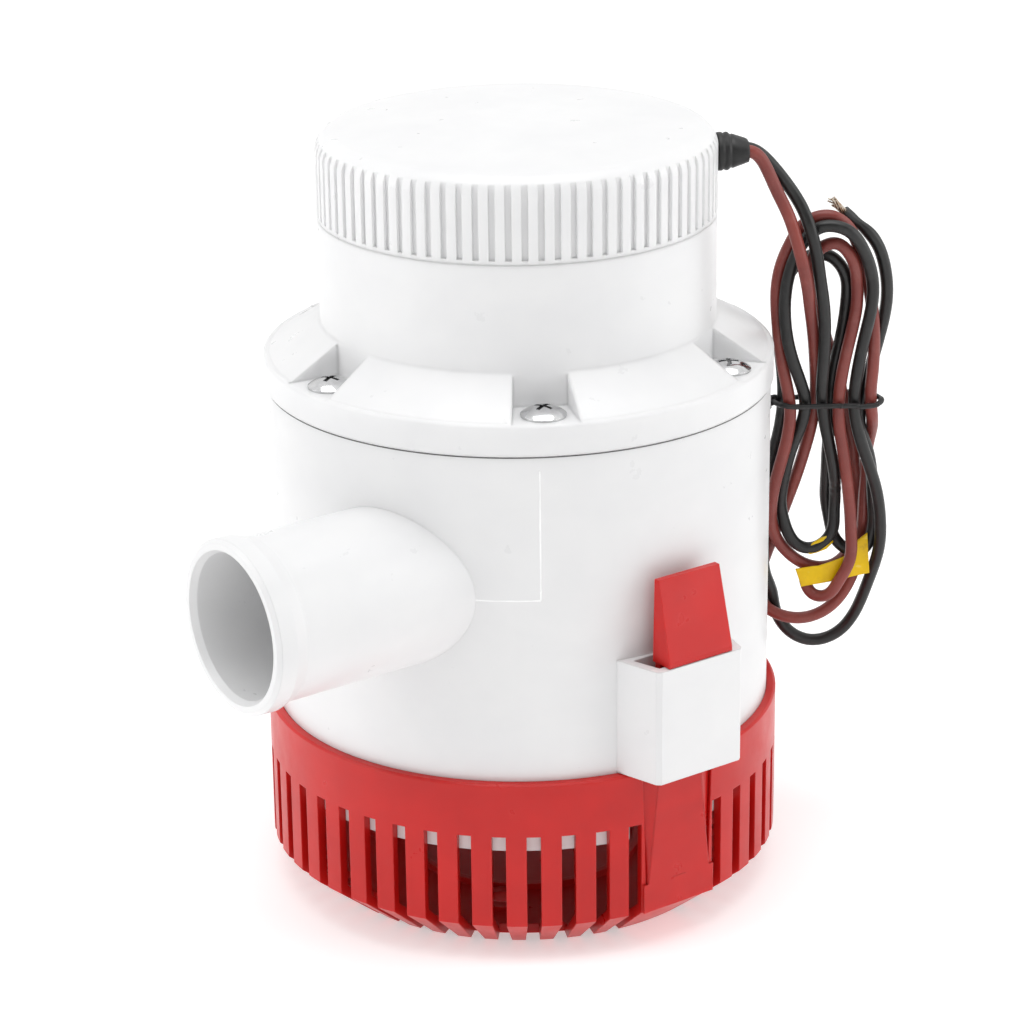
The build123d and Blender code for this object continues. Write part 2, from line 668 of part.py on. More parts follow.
with BuildPart() as front_end_plate:
    with BuildSketch(Plane.XZ):
        with BuildLine():
            Polyline(*FRONT_PLATE_OUTLINE, close=True)
        make_face()
    revolve(axis=Axis.Z)
    # ring of eight holes
    with BuildSketch(Plane.XY.offset(115)):
        with PolarLocations(24.5, 8, start_angle=22.5):
            Circle(4.0)
    extrude(amount=8, mode=Mode.SUBTRACT)
save(front_end_plate, "front_end_plate")

flat_ring(
    "motor_can", bottom=CAN_BOTTOM, height=CAN_TOP - CAN_BOTTOM,
    outer_r=CAN_R, inner_r=CAN_BORE + 0.05,
)

# two magnets, parted by a gap along X
with BuildPart() as magnets:
    with BuildSketch(Plane.XY.offset(124.0)):
        Circle(CAN_BORE)
        Circle(28.6, mode=Mode.SUBTRACT)
        Rectangle(90, 16, mode=Mode.SUBTRACT)
    extrude(amount=30.0)
save(magnets, "magnets")

REAR_BELL_OUTLINE = [
    (11.0, 167.0), (11.0, 174.2), (13.6, 174.2), (13.6, BELL_TOP), (CAN_R, BELL_TOP),
    (CAN_R, CAN_TOP), (CAN_BORE, CAN_TOP), (CAN_BORE, 164.6), (32.2, 164.6), (32.2, 167.0),
]

with BuildPart() as rear_end_bell:
    with BuildSketch(Plane.XZ):
        with BuildLine():
            Polyline(*REAR_BELL_OUTLINE, close=True)
        make_face()
    revolve(axis=Axis.Z)
    # ears for the through-bolts
    with BuildSketch(Plane.XY.offset(CAN_TOP)):
        with PolarLocations(BOLT_PCR - 2, 2, start_angle=BOLT_START):
            RectangleRounded(7.6, 7.0, 1.5)
    extrude(amount=BELL_TOP - CAN_TOP)
    # bolt holes and two windows
    with BuildSketch(Plane.XY.offset(CAN_TOP - 1)):
        with PolarLocations(BOLT_PCR, 2, start_angle=BOLT_START):
            Circle(1.5)
        with PolarLocations(26.0, 2, start_angle=90):
            RectangleRounded(9.0, 16.0, 3.0)
    extrude(amount=6, mode=Mode.SUBTRACT)
save(rear_end_bell, "rear_end_bell")

BOLT_BOTTOM = 115.0
BOLT_SHANK_R = 1.3
BOLT_HEAD_R = 1.85
BOLT_HEAD_H = 2.2

with BuildPart() as through_bolts:
    for angle in (BOLT_START, BOLT_START + 180):
        centre = polar_point(BOLT_PCR, angle)
        with BuildSketch(Plane.XY.offset(BOLT_BOTTOM)):
            with Locations(centre):
                Circle(BOLT_SHANK_R)
        extrude(amount=BELL_TOP - BOLT_BOTTOM)
        with BuildSketch(Plane.XY.offset(BELL_TOP)):
            with Locations(centre):
                Circle(BOLT_HEAD_R)
        extrude(amount=BOLT_HEAD_H)
        # driver slot
        with BuildSketch(Plane.XY.offset(BELL_TOP + 1.2)):
            with Locations(centre):
                Rectangle(5.0, 0.7)
        extrude(amount=1.2, mode=Mode.SUBTRACT)
save(through_bolts, "through_bolts")

# ------------------------------------------------------------------ armature
with BuildPart() as armature_core:
    with BuildSketch(Plane.XY.offset(CORE_BOTTOM)):
        Circle(28.0)
        Circle(SHAFT_R, mode=Mode.SUBTRACT)
        # slot mouths, then the winding slots
        with PolarLocations(26.4, ARMATURE_SLOTS, start_angle=15):
            Rectangle(4.0, 2.4, mode=Mode.SUBTRACT)
        with PolarLocations(WINDING_SLOT_R, ARMATURE_SLOTS, start_angle=15):
            SlotOverall(12.0, 6.0, mode=Mode.SUBTRACT)
    extrude(amount=CORE_LENGTH)
save(armature_core, "armature_core")

LOWER_COIL_END = [
    (8.0, CORE_BOTTOM), (8.0, 124.2), (11.0, 122.6), (22.5, 122.8), (26.0, 125.0),
    (26.0, CORE_BOTTOM),
]
UPPER_COIL_END = [
    (8.0, CORE_TOP), (8.0, 154.2), (11.0, 155.6), (22.5, 155.2), (26.0, 153.0),
    (26.0, CORE_TOP),
]

with BuildPart() as armature_windings:
    with BuildSketch(Plane.XY.offset(CORE_BOTTOM)):
        with PolarLocations(WINDING_SLOT_R, ARMATURE_SLOTS, start_angle=15):
            SlotOverall(11.8, 5.8)
    extrude(amount=CORE_LENGTH)
    with BuildSketch(Plane.XZ):
        for coil_end in (LOWER_COIL_END, UPPER_COIL_END):
            with BuildLine():
                Polyline(*coil_end, close=True)
            make_face()
    revolve(axis=Axis.Z)
save(armature_windings, "armature_windings")

COMMUTATOR_R = 11.0
COMMUTATOR_BOTTOM = 156.4

with BuildPart() as commutator:
    with BuildSketch(Plane.XY.offset(COMMUTATOR_BOTTOM)):
        Circle(COMMUTATOR_R)
        Circle(SHAFT_R, mode=Mode.SUBTRACT)
    extrude(amount=9.6)
    # collar at the bottom
    with BuildSketch(Plane.XY.offset(COMMUTATOR_BOTTOM)):
        Circle(12.4)
        Circle(10.0, mode=Mode.SUBTRACT)
    extrude(amount=1.6)
    # gaps between the segments
    with BuildSketch(Plane.XY.offset(156.0)):
        with PolarLocations(11.6, ARMATURE_SLOTS):
            Rectangle(3.4, 0.6)
    extrude(amount=11, mode=Mode.SUBTRACT)
save(commutator, "commutator")

# -------------------------------------------------------------------- brushes
HOLDER_W = 7.6
HOLDER_H = 9.2
HOLDER_START = 14.0      # distances from the axis along X
HOLDER_END = 30.8
HOLDER_CAP_T = 0.8
HOLDER_SHIM = 0.4        # strip along the top of each holder

with BuildPart() as brush_holders:
    for direction in (1, -1):
        with BuildSketch(Plane.YZ.offset(direction * HOLDER_START)):
            with Locations((0, BRUSH_Z)):
                Rectangle(HOLDER_W, HOLDER_H)
                Rectangle(6.04, 7.6, mode=Mode.SUBTRACT)
            with Locations((0, BRUSH_Z + (HOLDER_H + HOLDER_SHIM) / 2)):
                Rectangle(HOLDER_W, HOLDER_SHIM)
        extrude(amount=direction * (HOLDER_END - HOLDER_START))
        # closed outer end
        with BuildSketch(Plane.YZ.offset(direction * HOLDER_END)):
            with Locations((0, BRUSH_Z)):
                Rectangle(HOLDER_W, HOLDER_H)
        extrude(amount=direction * HOLDER_CAP_T)
save(brush_holders, "brush_holders")

BRUSH_X = 17.6
with BuildPart() as brushes:
    with BuildSketch(Plane.XY.offset(BRUSH_Z - BRUSH_HEIGHT / 2)):
        with Locations((BRUSH_X, 0), (-BRUSH_X, 0)):
            Rectangle(13.4, 6.0)
        Circle(COMMUTATOR_R + 0.06, mode=Mode.SUBTRACT)
    extrude(amount=BRUSH_HEIGHT)
save(brushes, "brushes")

SPRING_START = 24.55
SPRING_WIRE_R = 0.22
with BuildPart() as brush_springs:
    for direction in (-1, 1):
        with BuildLine() as coil:
            Helix(
                pitch=1.25, height=6.0, radius=2.3,
                center=(direction * SPRING_START, 0, BRUSH_Z), direction=(direction, 0, 0),
            )
        with BuildSketch(Plane(origin=coil.line @ 0, z_dir=coil.line % 0)):
            Circle(SPRING_WIRE_R)
        sweep(path=coil.line)
save(brush_springs, "brush_springs")

# ------------------------------------------------------------------ terminals
BLADE_W = 6.3
BLADE_T = 0.8
BLADE_H = 9.0
BLADE_OFFSET = 5.5       # to each side of the gland direction

with BuildPart() as terminals:
    # upright blades
    with BuildSketch(Plane.XY.offset(BELL_TOP)):
        with Locations(Rotation(0, 0, GLAND_DIR)):
            with Locations((30.0, BLADE_OFFSET), (30.0, -BLADE_OFFSET)):
                Rectangle(BLADE_T, BLADE_W)
    extrude(amount=BLADE_H)
    # feet
    with BuildSketch(Plane.XY.offset(BELL_TOP)):
        with Locations(Rotation(0, 0, GLAND_DIR)):
            with Locations((26.8, BLADE_OFFSET), (26.8, -BLADE_OFFSET)):
                Rectangle(6.0, BLADE_W)
    extrude(amount=BLADE_T)
save(terminals, "terminals")

# -------------------------------------------------------------- cable gland
# round sections: start along the gland direction, radius, length
GLAND_SECTIONS = [(40.6, 4.1, 2.0), (42.4, 3.36, 4.6), (46.85, 4.2, 2.6)]

with BuildPart() as cable_gland:
    for start, radius, length in GLAND_SECTIONS:
        with BuildSketch(GLAND.offset(start)):
            Circle(radius)
        extrude(amount=length)
    # nose, from round to a flat slot shape
    with BuildSketch(GLAND.offset(49.45)):
        Circle(4.1)
    with BuildSketch(GLAND.offset(54.2)):
        SlotOverall(7.2, 5.0)
    loft()
    # holes for the two leads
    with BuildSketch(GLAND.offset(40)):
        with Locations((-1.6, 0), (1.6, 0)):
            Circle(LEAD_R + 0.02)
    extrude(amount=16, mode=Mode.SUBTRACT)
save(cable_gland, "cable_gland")

# --------------------------------------------------------------------- leads
# Two insulated leads run from the motor terminals through the gland and are
# folded into a hank beside the pump.  Each list is a centreline, (x, y, z).
RED_PATH = [
    (23.62, -19.99, 175.00), (25.98, -21.00, 175.40), (30.11, -20.85, 176.50), (33.83, -21.40, 176.80),
    (37.31, -23.39, 176.80), (42.50, -26.39, 176.80), (47.00, -28.99, 176.70), (50.41, -30.26, 172.21),
    (53.13, -30.89, 166.46), (55.26, -32.57, 160.74), (56.23, -34.61, 154.80), (57.55, -35.52, 148.67),
    (59.67, -34.83, 142.70), (62.09, -33.06, 137.05), (64.48, -31.31, 131.39), (66.56, -29.71, 125.58),
    (68.33, -28.27, 119.61), (69.73, -26.94, 113.53), (70.63, -25.42, 107.38), (70.93, -23.64, 101.23),
    (70.80, -21.68, 95.11), (70.62, -19.50, 89.03), (70.67, -16.87, 83.09), (70.22, -14.54, 77.09),
    (69.55, -12.33, 71.04), (69.09, -9.98, 64.96), (68.22, -8.58, 58.58), (67.50, -10.95, 52.61),
    (71.12, -15.18, 49.34), (76.22, -19.06, 49.28), (80.69, -22.30, 52.44), (83.96, -24.21, 57.59),
    (86.39, -24.81, 63.50), (87.43, -25.21, 69.78), (87.07, -26.13, 76.13), (86.59, -26.90, 82.47),
    (86.04, -27.84, 88.77), (85.27, -28.88, 95.03), (84.39, -31.21, 100.93), (81.70, -34.28, 106.07),
    (79.97, -35.52, 112.19), (79.62, -36.39, 118.59), (79.38, -36.90, 125.00), (78.98, -36.87, 131.39),
    (77.94, -36.76, 137.70), (76.07, -36.88, 143.81), (73.79, -37.09, 149.78), (70.78, -37.17, 155.41),
    (66.51, -34.93, 159.20), (62.16, -31.03, 157.65), (59.80, -28.24, 152.49), (58.59, -26.21, 146.57),
    (58.21, -25.20, 140.29), (58.57, -25.06, 133.91), (59.43, -25.00, 127.58), (60.51, -25.09, 121.29),
    (61.84, -25.45, 115.05), (62.88, -25.52, 108.76), (62.78, -24.90, 102.42), (62.40, -23.43, 96.20),
    (62.49, -21.26, 90.12), (63.30, -18.89, 84.11), (64.67, -16.94, 78.03), (67.19, -15.95, 72.12),
    (70.66, -17.50, 66.94), (75.45, -19.98, 63.54), (81.55, -21.62, 63.03), (86.98, -21.60, 66.12),
    (88.71, -22.45, 72.10), (88.16, -23.27, 78.45), (86.83, -23.85, 84.73), (84.64, -25.00, 90.71),
    (82.05, -26.98, 96.35), (79.58, -28.01, 102.22), (77.65, -28.52, 108.32), (76.36, -27.90, 114.55),
    (74.80, -26.94, 120.69), (72.62, -26.56, 126.70), (70.12, -26.91, 132.59), (67.53, -28.06, 138.36),
    (65.08, -29.87, 144.03), (63.98, -32.23, 149.81), (66.97, -36.07, 152.72), (70.82, -37.93, 148.48),
    (72.83, -37.49, 142.41), (73.72, -36.58, 136.13), (73.50, -35.40, 129.85), (72.95, -34.15, 123.59),
    (72.71, -32.92, 117.33), (72.95, -31.86, 111.04), (73.67, -31.37, 104.73), (74.99, -31.33, 98.48),
    (76.69, -30.79, 92.32), (78.19, -30.21, 86.08), (79.30, -29.92, 79.73), (80.12, -29.59, 73.31),
    (80.20, -29.13, 66.80), (77.82, -27.61, 60.84), (76.07, -25.44, 57.20), (74.32, -22.47, 56.90),
    (73.45, -20.58, 59.20), (73.24, -20.35, 61.20),
]
BLACK_PATH = [
    (29.12, -10.46, 175.00), (31.18, -12.00, 175.40), (33.11, -15.65, 176.50), (35.45, -18.60, 176.80),
    (38.91, -20.61, 176.80), (44.10, -23.61, 176.80), (48.60, -26.21, 176.70), (52.96, -28.12, 173.04),
    (56.51, -29.99, 167.98), (58.76, -32.84, 162.66), (59.34, -36.01, 157.01), (61.00, -36.36, 150.81),
    (62.68, -35.84, 144.58), (64.20, -35.47, 138.32), (65.54, -34.58, 132.09), (66.76, -33.19, 125.92),
    (67.78, -31.67, 119.74), (68.84, -30.27, 113.53), (70.35, -29.28, 107.33), (72.37, -28.63, 101.18),
    (74.43, -28.09, 94.98), (76.49, -27.01, 88.81), (78.84, -24.56, 83.03), (79.31, -23.95, 76.67),
    (77.55, -22.95, 70.71), (72.67, -20.13, 69.14), (69.16, -18.12, 73.75), (67.74, -17.21, 79.93),
    (66.43, -18.84, 86.03), (65.64, -21.12, 92.12), (65.72, -23.25, 98.28), (66.23, -25.66, 104.29),
    (65.98, -27.46, 110.46), (63.93, -27.95, 116.53), (61.28, -28.18, 122.40), (59.25, -28.30, 128.50),
    (58.25, -28.35, 134.82), (58.25, -28.63, 141.18), (58.84, -29.92, 147.36), (60.23, -32.13, 153.13),
    (63.15, -35.64, 157.36), (67.65, -39.45, 156.54), (71.67, -40.41, 151.75), (74.53, -40.28, 146.01),
    (75.95, -39.82, 139.80), (76.05, -38.70, 133.49), (75.87, -37.11, 127.28), (75.84, -35.60, 121.05),
    (75.99, -34.30, 114.78), (76.66, -33.49, 108.48), (78.08, -33.54, 102.27), (80.12, -33.96, 96.23),
    (82.57, -33.98, 90.32), (84.77, -33.70, 84.32), (86.43, -33.03, 78.15), (87.34, -32.30, 71.83),
    (87.91, -30.42, 65.70), (88.11, -27.89, 59.74), (87.78, -25.57, 53.72), (86.76, -23.12, 47.87),
    (83.97, -20.14, 43.03), (79.08, -16.67, 41.33), (74.35, -13.44, 43.90), (71.70, -11.16, 49.21),
    (69.90, -11.47, 55.32), (67.19, -12.00, 61.15), (66.23, -12.19, 67.49), (66.09, -12.46, 73.89),
    (65.64, -13.35, 80.20), (65.00, -14.84, 86.39), (64.51, -16.76, 92.48), (64.22, -18.87, 98.51),
    (63.97, -20.78, 104.61), (63.56, -22.01, 110.87), (62.91, -22.38, 117.22), (62.05, -22.30, 123.55),
    (61.16, -22.39, 129.89), (60.93, -22.98, 136.25), (61.84, -24.63, 142.36), (64.67, -27.30, 147.34),
    (68.88, -31.54, 148.34), (72.13, -33.88, 143.75), (73.32, -33.38, 137.51), (73.69, -32.15, 131.23),
    (73.53, -30.85, 124.95), (73.09, -29.63, 118.67), (73.33, -28.44, 112.37), (74.21, -27.26, 106.08),
    (75.05, -25.93, 99.81), (76.02, -24.50, 93.54), (77.48, -22.67, 87.42), (79.18, -20.73, 81.36),
    (80.51, -20.80, 74.99), (81.93, -22.83, 69.09), (85.08, -27.29, 67.42), (87.57, -29.03, 72.66),
    (87.00, -29.83, 78.97), (85.77, -30.63, 85.22), (84.38, -31.40, 91.46), (82.27, -31.75, 97.54),
    (80.64, -31.05, 103.70), (81.05, -31.74, 110.05), (81.34, -33.16, 116.32), (81.92, -34.49, 122.57),
    (82.38, -36.05, 128.78), (82.18, -37.70, 134.99), (81.27, -38.73, 141.25), (79.51, -39.00, 147.39),
    (76.82, -38.13, 153.08), (72.95, -35.54, 157.38), (70.85, -34.41, 159.50),
]
LEAD_RUNS = 4            # each lead is swept as this many end-to-end solids


def lead(name, path):
    """Sweep one lead along its centreline and return the centreline edge."""
    with BuildLine() as centreline:
        Spline(*path)
    edge = centreline.edges()[0]
    runs = []
    for i in range(LEAD_RUNS):
        run_edge = edge.trim(i / LEAD_RUNS, (i + 1) / LEAD_RUNS)
        with BuildPart() as run:
            with BuildSketch(Plane(origin=run_edge @ 0, z_dir=run_edge % 0)):
                Circle(LEAD_R)
            sweep(path=run_edge)
        runs.append(run.part.solids()[0])
    with BuildPart() as whole:
        add(runs, mode=Mode.REPLACE)
    save(whole, name)
    return edge


lead("lead_red", RED_PATH)
black_edge = lead("lead_black", BLACK_PATH)

# bare strands beyond the insulation of the black lead
with BuildPart() as lead_strands:
    with BuildSketch(Plane(origin=black_edge @ 1, z_dir=black_edge % 1)):
        Circle(0.46)
        with PolarLocations(0.66, 6):
            Circle(0.29)
    extrude(amount=4.8)
save(lead_strands, "lead_strands")

# ------------------------------------------------------------------ twist tie
# The outline, (x, y), wraps the strands that cross the height of the tie.
TIE_Z = 109.6
TIE_H = 1.6
TIE_HULL = [
    (77.35, -28.48), (63.66, -21.83), (62.8, -25.54), (73.07, -31.69), (76.49, -33.58),
    (80.47, -35.17), (81.0, -31.65),
]

with BuildPart() as twist_tie:
    with BuildSketch(Plane.XY.offset(TIE_Z)):
        Polygon(*TIE_HULL, align=None)
        offset(amount=LEAD_R + 1.75, kind=Kind.ARC)
    extrude(amount=TIE_H)
    with BuildSketch(Plane.XY.offset(TIE_Z - 1)):
        Polygon(*TIE_HULL, align=None)
        offset(amount=LEAD_R + 0.4, kind=Kind.ARC)
    extrude(amount=4, mode=Mode.SUBTRACT)
save(twist_tie, "twist_tie")

# ------------------------------------------------------------------- lead tag
# Flat label on the hank; (distance along the gland direction, height).
TAG_OFFSET = 16.75       # sideways from the vertical plane through the gland
TAG_HALF_T = 0.12
TAG_OUTLINE = [
    (70.7, 64.29), (72.32, 59.36), (89.56, 62.23), (88.77, 73.03), (86.03, 71.02),
    (83.08, 67.15), (76.53, 64.8),
]
TAG_PLANE = Plane(
    origin=(0, 0, 0), x_dir=(GLAND_X, GLAND_Y, 0), z_dir=(GLAND_Y, -GLAND_X, 0)
).offset(-TAG_OFFSET)

with BuildPart() as lead_tag:
    with BuildSketch(TAG_PLANE):
        Polygon(*TAG_OUTLINE, align=None)
    extrude(amount=TAG_HALF_T, both=True)
save(lead_tag, "lead_tag")
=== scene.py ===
"""Looks and studio for a submersible pump.

It has a red strainer base with two latch fingers, a white housing, and a hank of two leads by
its cable gland. The pump stands on z = 0 with its axis on Z. The front latch is on -Y and the
gland points 30 degrees to the -Y side of +X. Shape sizes are in millimetres, turned to metres
by mm() or MM. Material, light and camera sizes are in metres.
"""
import json
import math
import random

import bpy
import bmesh
from mathutils import Matrix, Vector


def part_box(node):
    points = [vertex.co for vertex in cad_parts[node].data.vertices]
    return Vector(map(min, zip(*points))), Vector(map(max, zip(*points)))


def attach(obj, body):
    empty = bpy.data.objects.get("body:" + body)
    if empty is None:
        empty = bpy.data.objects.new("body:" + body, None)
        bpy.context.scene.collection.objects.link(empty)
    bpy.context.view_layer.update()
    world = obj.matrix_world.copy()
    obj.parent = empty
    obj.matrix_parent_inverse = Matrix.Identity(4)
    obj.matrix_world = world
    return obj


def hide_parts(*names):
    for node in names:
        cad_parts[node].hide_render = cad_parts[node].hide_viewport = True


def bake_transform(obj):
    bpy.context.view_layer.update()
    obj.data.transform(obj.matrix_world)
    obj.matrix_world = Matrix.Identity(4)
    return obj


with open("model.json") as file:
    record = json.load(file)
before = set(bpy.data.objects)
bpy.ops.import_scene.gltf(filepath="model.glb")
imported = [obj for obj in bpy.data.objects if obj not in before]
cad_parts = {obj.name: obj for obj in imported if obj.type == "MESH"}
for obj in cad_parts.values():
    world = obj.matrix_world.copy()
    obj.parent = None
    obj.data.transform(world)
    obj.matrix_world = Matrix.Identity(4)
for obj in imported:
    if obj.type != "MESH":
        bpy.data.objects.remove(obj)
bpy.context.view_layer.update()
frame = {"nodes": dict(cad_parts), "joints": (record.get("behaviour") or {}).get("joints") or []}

NODES = frame["nodes"]
MM = 0.001
GLAND_ANGLE = math.radians(-30)
GLAND_OUT = Vector((math.cos(GLAND_ANGLE), math.sin(GLAND_ANGLE), 0))
GLAND_SIDE = Vector((-GLAND_OUT.y, GLAND_OUT.x, 0))
UP = Vector((0, 0, 1))

# ---------------------------------------------------------------- node graphs
SURFACE_SOCKETS = {
    "color": "Base Color", "rough": "Roughness", "metal": "Metallic", "normal": "Normal",
    "spec": "Specular IOR Level", "coat": "Coat Weight", "sss": "Subsurface Weight",
    "sss_scale": "Subsurface Scale", "sss_radius": "Subsurface Radius",
    "glow_color": "Emission Color", "glow": "Emission Strength",
}


class Graph:
    """A cleared shader node tree. Any value may be a constant or another node's output."""

    def __init__(self, tree):
        self.tree = tree
        tree.nodes.clear()

    def put(self, socket, value):
        if isinstance(value, bpy.types.NodeSocket):
            self.tree.links.new(value, socket)
        elif socket.type == "RGBA":
            socket.default_value = (*value, 1.0)
        else:
            socket.default_value = value

    def node(self, kind, inputs=None, **settings):
        made = self.tree.nodes.new("ShaderNode" + kind)
        for key, value in settings.items():
            setattr(made, key, value)
        for key, value in (inputs or {}).items():
            self.put(made.inputs[key], value)
        return made

    def math(self, operation, *values, clamp=False):
        made = self.node("Math", dict(enumerate(values)), operation=operation, use_clamp=clamp)
        return made.outputs[0]

    def remap(self, value, over=(0.3, 0.7), to=(0.0, 1.0), **settings):
        """Carry the span `over` to the span `to`; the default is the busy middle of a noise."""
        inputs = {"From Min": over[0], "From Max": over[1],
                  "To Min": to[0], "To Max": to[1], "Value": value}
        return self.node("MapRange", inputs, **settings).outputs[0]


class Surface(Graph):
    """One procedural material around a principled shader, textured in object space."""

    def __init__(self, name):
        self.material = bpy.data.materials.new(name)
        self.material.use_nodes = True
        super().__init__(self.material.node_tree)
        output = self.node("OutputMaterial")
        self.shader = self.node("BsdfPrincipled")
        self.put(output.inputs[0], self.shader.outputs[0])
        self.coords = self.node("TexCoord").outputs["Object"]

    def noise(self, scale, detail=3.0, rough=0.5, vector=None, distortion=0.0):
        inputs = {"Scale": scale, "Detail": detail, "Roughness": rough,
                  "Distortion": distortion, "Vector": vector or self.coords}
        return self.node("TexNoise", inputs).outputs["Fac"]

    def streaks(self, stretch, turn=(0, 0, 0), **noise):
        """Noise with its own scale and turn on each axis."""
        inputs = {"Scale": stretch, "Rotation": turn, "Vector": self.coords}
        return self.noise(1.0, vector=self.node("Mapping", inputs).outputs[0], **noise)

    def wave(self, scale, direction, distortion=0.0, detail=2.0):
        inputs = {"Scale": scale, "Distortion": distortion, "Detail": detail,
                  "Vector": self.coords}
        return self.node("TexWave", inputs, bands_direction=direction).outputs["Fac"]

    def ramp(self, value, *stops):
        """Colours at (position, colour) stops."""
        made = self.node("ValToRGB", {0: value})
        elements = made.color_ramp.elements
        while len(elements) > 1:
            elements.remove(elements[-1])
        elements[0].position = stops[0][0]
        elements[0].color = (*stops[0][1], 1)
        for position, color in stops[1:]:
            elements.new(position).color = (*color, 1)
        return made.outputs[0]

    def mix(self, amount, under, over):
        return self.node("Mix", {0: amount, 6: under, 7: over}, data_type="RGBA").outputs[2]

    def bevel(self, radius):
        """Normals rounded along sharp edges."""
        return self.node("Bevel", {"Radius": radius}, samples=3).outputs[0]

    def edges(self, rounded, gain):
        """1 where the rounded normal leaves the true one, 0 on flats."""
        true = self.node("NewGeometry").outputs["Normal"]
        dot = self.node("VectorMath", {0: rounded, 1: true}, operation="DOT_PRODUCT")
        away = self.math("SUBTRACT", 1.0, dot.outputs["Value"])
        return self.math("MULTIPLY", away, gain, clamp=True)

    def openness(self, distance):
        """1 in the open, falling to 0 in corners."""
        return self.node("AmbientOcclusion", {"Distance": distance}, samples=2).outputs["AO"]

    def bump(self, height, strength, distance, normal=None):
        inputs = {"Strength": strength, "Distance": distance, "Height": height}
        if normal is not None:
            inputs["Normal"] = normal
        return self.node("Bump", inputs).outputs[0]

    def finish(self, **values):
        for key, value in values.items():
            self.put(self.shader.inputs[SURFACE_SOCKETS[key]], value)
        return self.material


# ---------------------------------------------------------------- material families
def hair_scratches(s, scale=260.0):
    """Sparse hairline scratches in two crossed directions, 0..1."""
    across_y = s.streaks((scale * 2.2, scale * 0.10, scale * 0.22), turn=(0.35, 0.2, 0.6),
                         detail=2.0)
    across_x = s.streaks((scale * 0.14, scale * 1.9, scale * 0.2), turn=(0.1, -0.5, -0.3),
                         detail=2.0)
    return s.math("MAXIMUM", s.remap(across_y, over=(0.68, 0.71)),
                  s.remap(across_x, over=(0.70, 0.73)))


def plastic(name, base, alt, edge_color, rough=(0.27, 0.40), peel=0.07, edge_radius=0.0004,
            spec=0.5, mottle=45.0, corner_shade=None, sss=0.0, sss_radius=(1.0, 1.0, 1.0)):
    """Injection moulded plastic: slow colour drift, faint flow streaks, orange peel, hair
    scratches and lighter polished edges. The corner (colour, amount) pair paints shade into
    corners and recesses, darkening found by ambient occlusion and broken up by noise."""
    s = Surface(name)
    drift = s.noise(mottle, rough=0.55)
    flow = s.streaks((34, 34, 70), turn=(0.5, 0.35, 0), distortion=0.8)
    tone = s.math("ADD", s.math("MULTIPLY", drift, 0.65), s.math("MULTIPLY", flow, 0.35))
    color = s.ramp(tone, (0.36, alt), (0.62, base))
    fine = s.noise(2600.0, detail=2.0, rough=0.6)
    color = s.mix(s.remap(fine, over=(0.45, 0.8), to=(0.0, 0.10)), color, alt)
    rounded = s.bevel(edge_radius)
    patches = s.remap(s.noise(420.0), over=(0.35, 0.7), to=(0.15, 0.75))
    wear = s.math("MULTIPLY", s.edges(rounded, gain=2.2), patches)
    color = s.mix(wear, color, edge_color)
    # painted shade: corners and recesses darkened by ambient occlusion, broken up by noise
    if corner_shade:
        corner_shade_color, amount = corner_shade
        corners = s.remap(s.openness(0.004), over=(0.15, 0.75), to=(amount, 0.0))
        patches = s.remap(s.noise(160.0, detail=4.0), over=(0.35, 0.65), to=(0.4, 1.0))
        color = s.mix(s.math("MULTIPLY", corners, patches), color, corner_shade_color)
    scratches = hair_scratches(s)
    sheen = s.remap(s.noise(140.0, detail=4.0, rough=0.6), to=rough)
    sheen = s.math("ADD", sheen, s.math("MULTIPLY", scratches, 0.012))
    normal = s.bump(s.noise(900.0, detail=2.0), strength=peel, distance=0.00012, normal=rounded)
    grain = s.noise(5200.0, detail=2.0, rough=0.6)
    normal = s.bump(grain, strength=0.06, distance=0.00004, normal=normal)
    if sss:
        s.finish(sss=sss, sss_scale=0.0022, sss_radius=sss_radius)
    return s.finish(color=color, rough=sheen, normal=normal, spec=spec)


def metal(name, base, alt, tarnish_and_shade, tarnish_and_shade_amount, rough, brush="Z", brush_scale=900.0,
          bump=0.12):
    """Brushed metal with its lines along the brush axis, darkened in patches and, through
    ambient occlusion, in corners: tarnish on most metals, painted contact shadow round the
    stainless screw heads.
    """
    s = Surface(name)
    color = s.ramp(s.noise(220.0, detail=4.0, rough=0.6), (0.35, alt), (0.65, base))
    patches = s.remap(s.noise(90.0, detail=5.0, rough=0.65), over=(0.48, 0.72))
    patches = s.math("MULTIPLY", patches, tarnish_and_shade_amount)
    # corner darkening from ambient occlusion: tarnish in hollows, and painted contact shadow on
    # the stainless screws
    corners = s.remap(s.openness(0.002), over=(0.2, 0.8), to=(tarnish_and_shade_amount, 0.0))
    color = s.mix(s.math("MAXIMUM", patches, corners), color, tarnish_and_shade)
    stretch = [brush_scale] * 3
    stretch["XYZ".index(brush)] *= 0.04
    lines = s.streaks(stretch, rough=0.6)
    normal = s.bump(lines, strength=bump, distance=0.00005, normal=s.bevel(0.00015))
    normal = s.bump(s.noise(1800.0, detail=2.0), strength=0.05, distance=0.00004, normal=normal)
    return s.finish(color=color, rough=s.remap(lines, to=rough), metal=1.0, normal=normal)


def rubber(name, base, alt, rough, bump, dust_amount, dust=(0.16, 0.155, 0.15)):
    """Matt dark stuff with a dusty bloom."""
    s = Surface(name)
    color = s.ramp(s.noise(300.0, detail=4.0, rough=0.6), (0.35, alt), (0.65, base))
    bloom = s.remap(s.noise(120.0, detail=5.0, rough=0.6), over=(0.45, 0.75))
    color = s.mix(s.math("MULTIPLY", bloom, dust_amount), color, dust)
    sheen = s.remap(s.noise(500.0), to=rough)
    normal = s.bump(s.noise(2400.0, rough=0.6), strength=bump, distance=0.00008,
                    normal=s.bevel(0.0002))
    return s.finish(color=color, rough=sheen, normal=normal, spec=0.4)


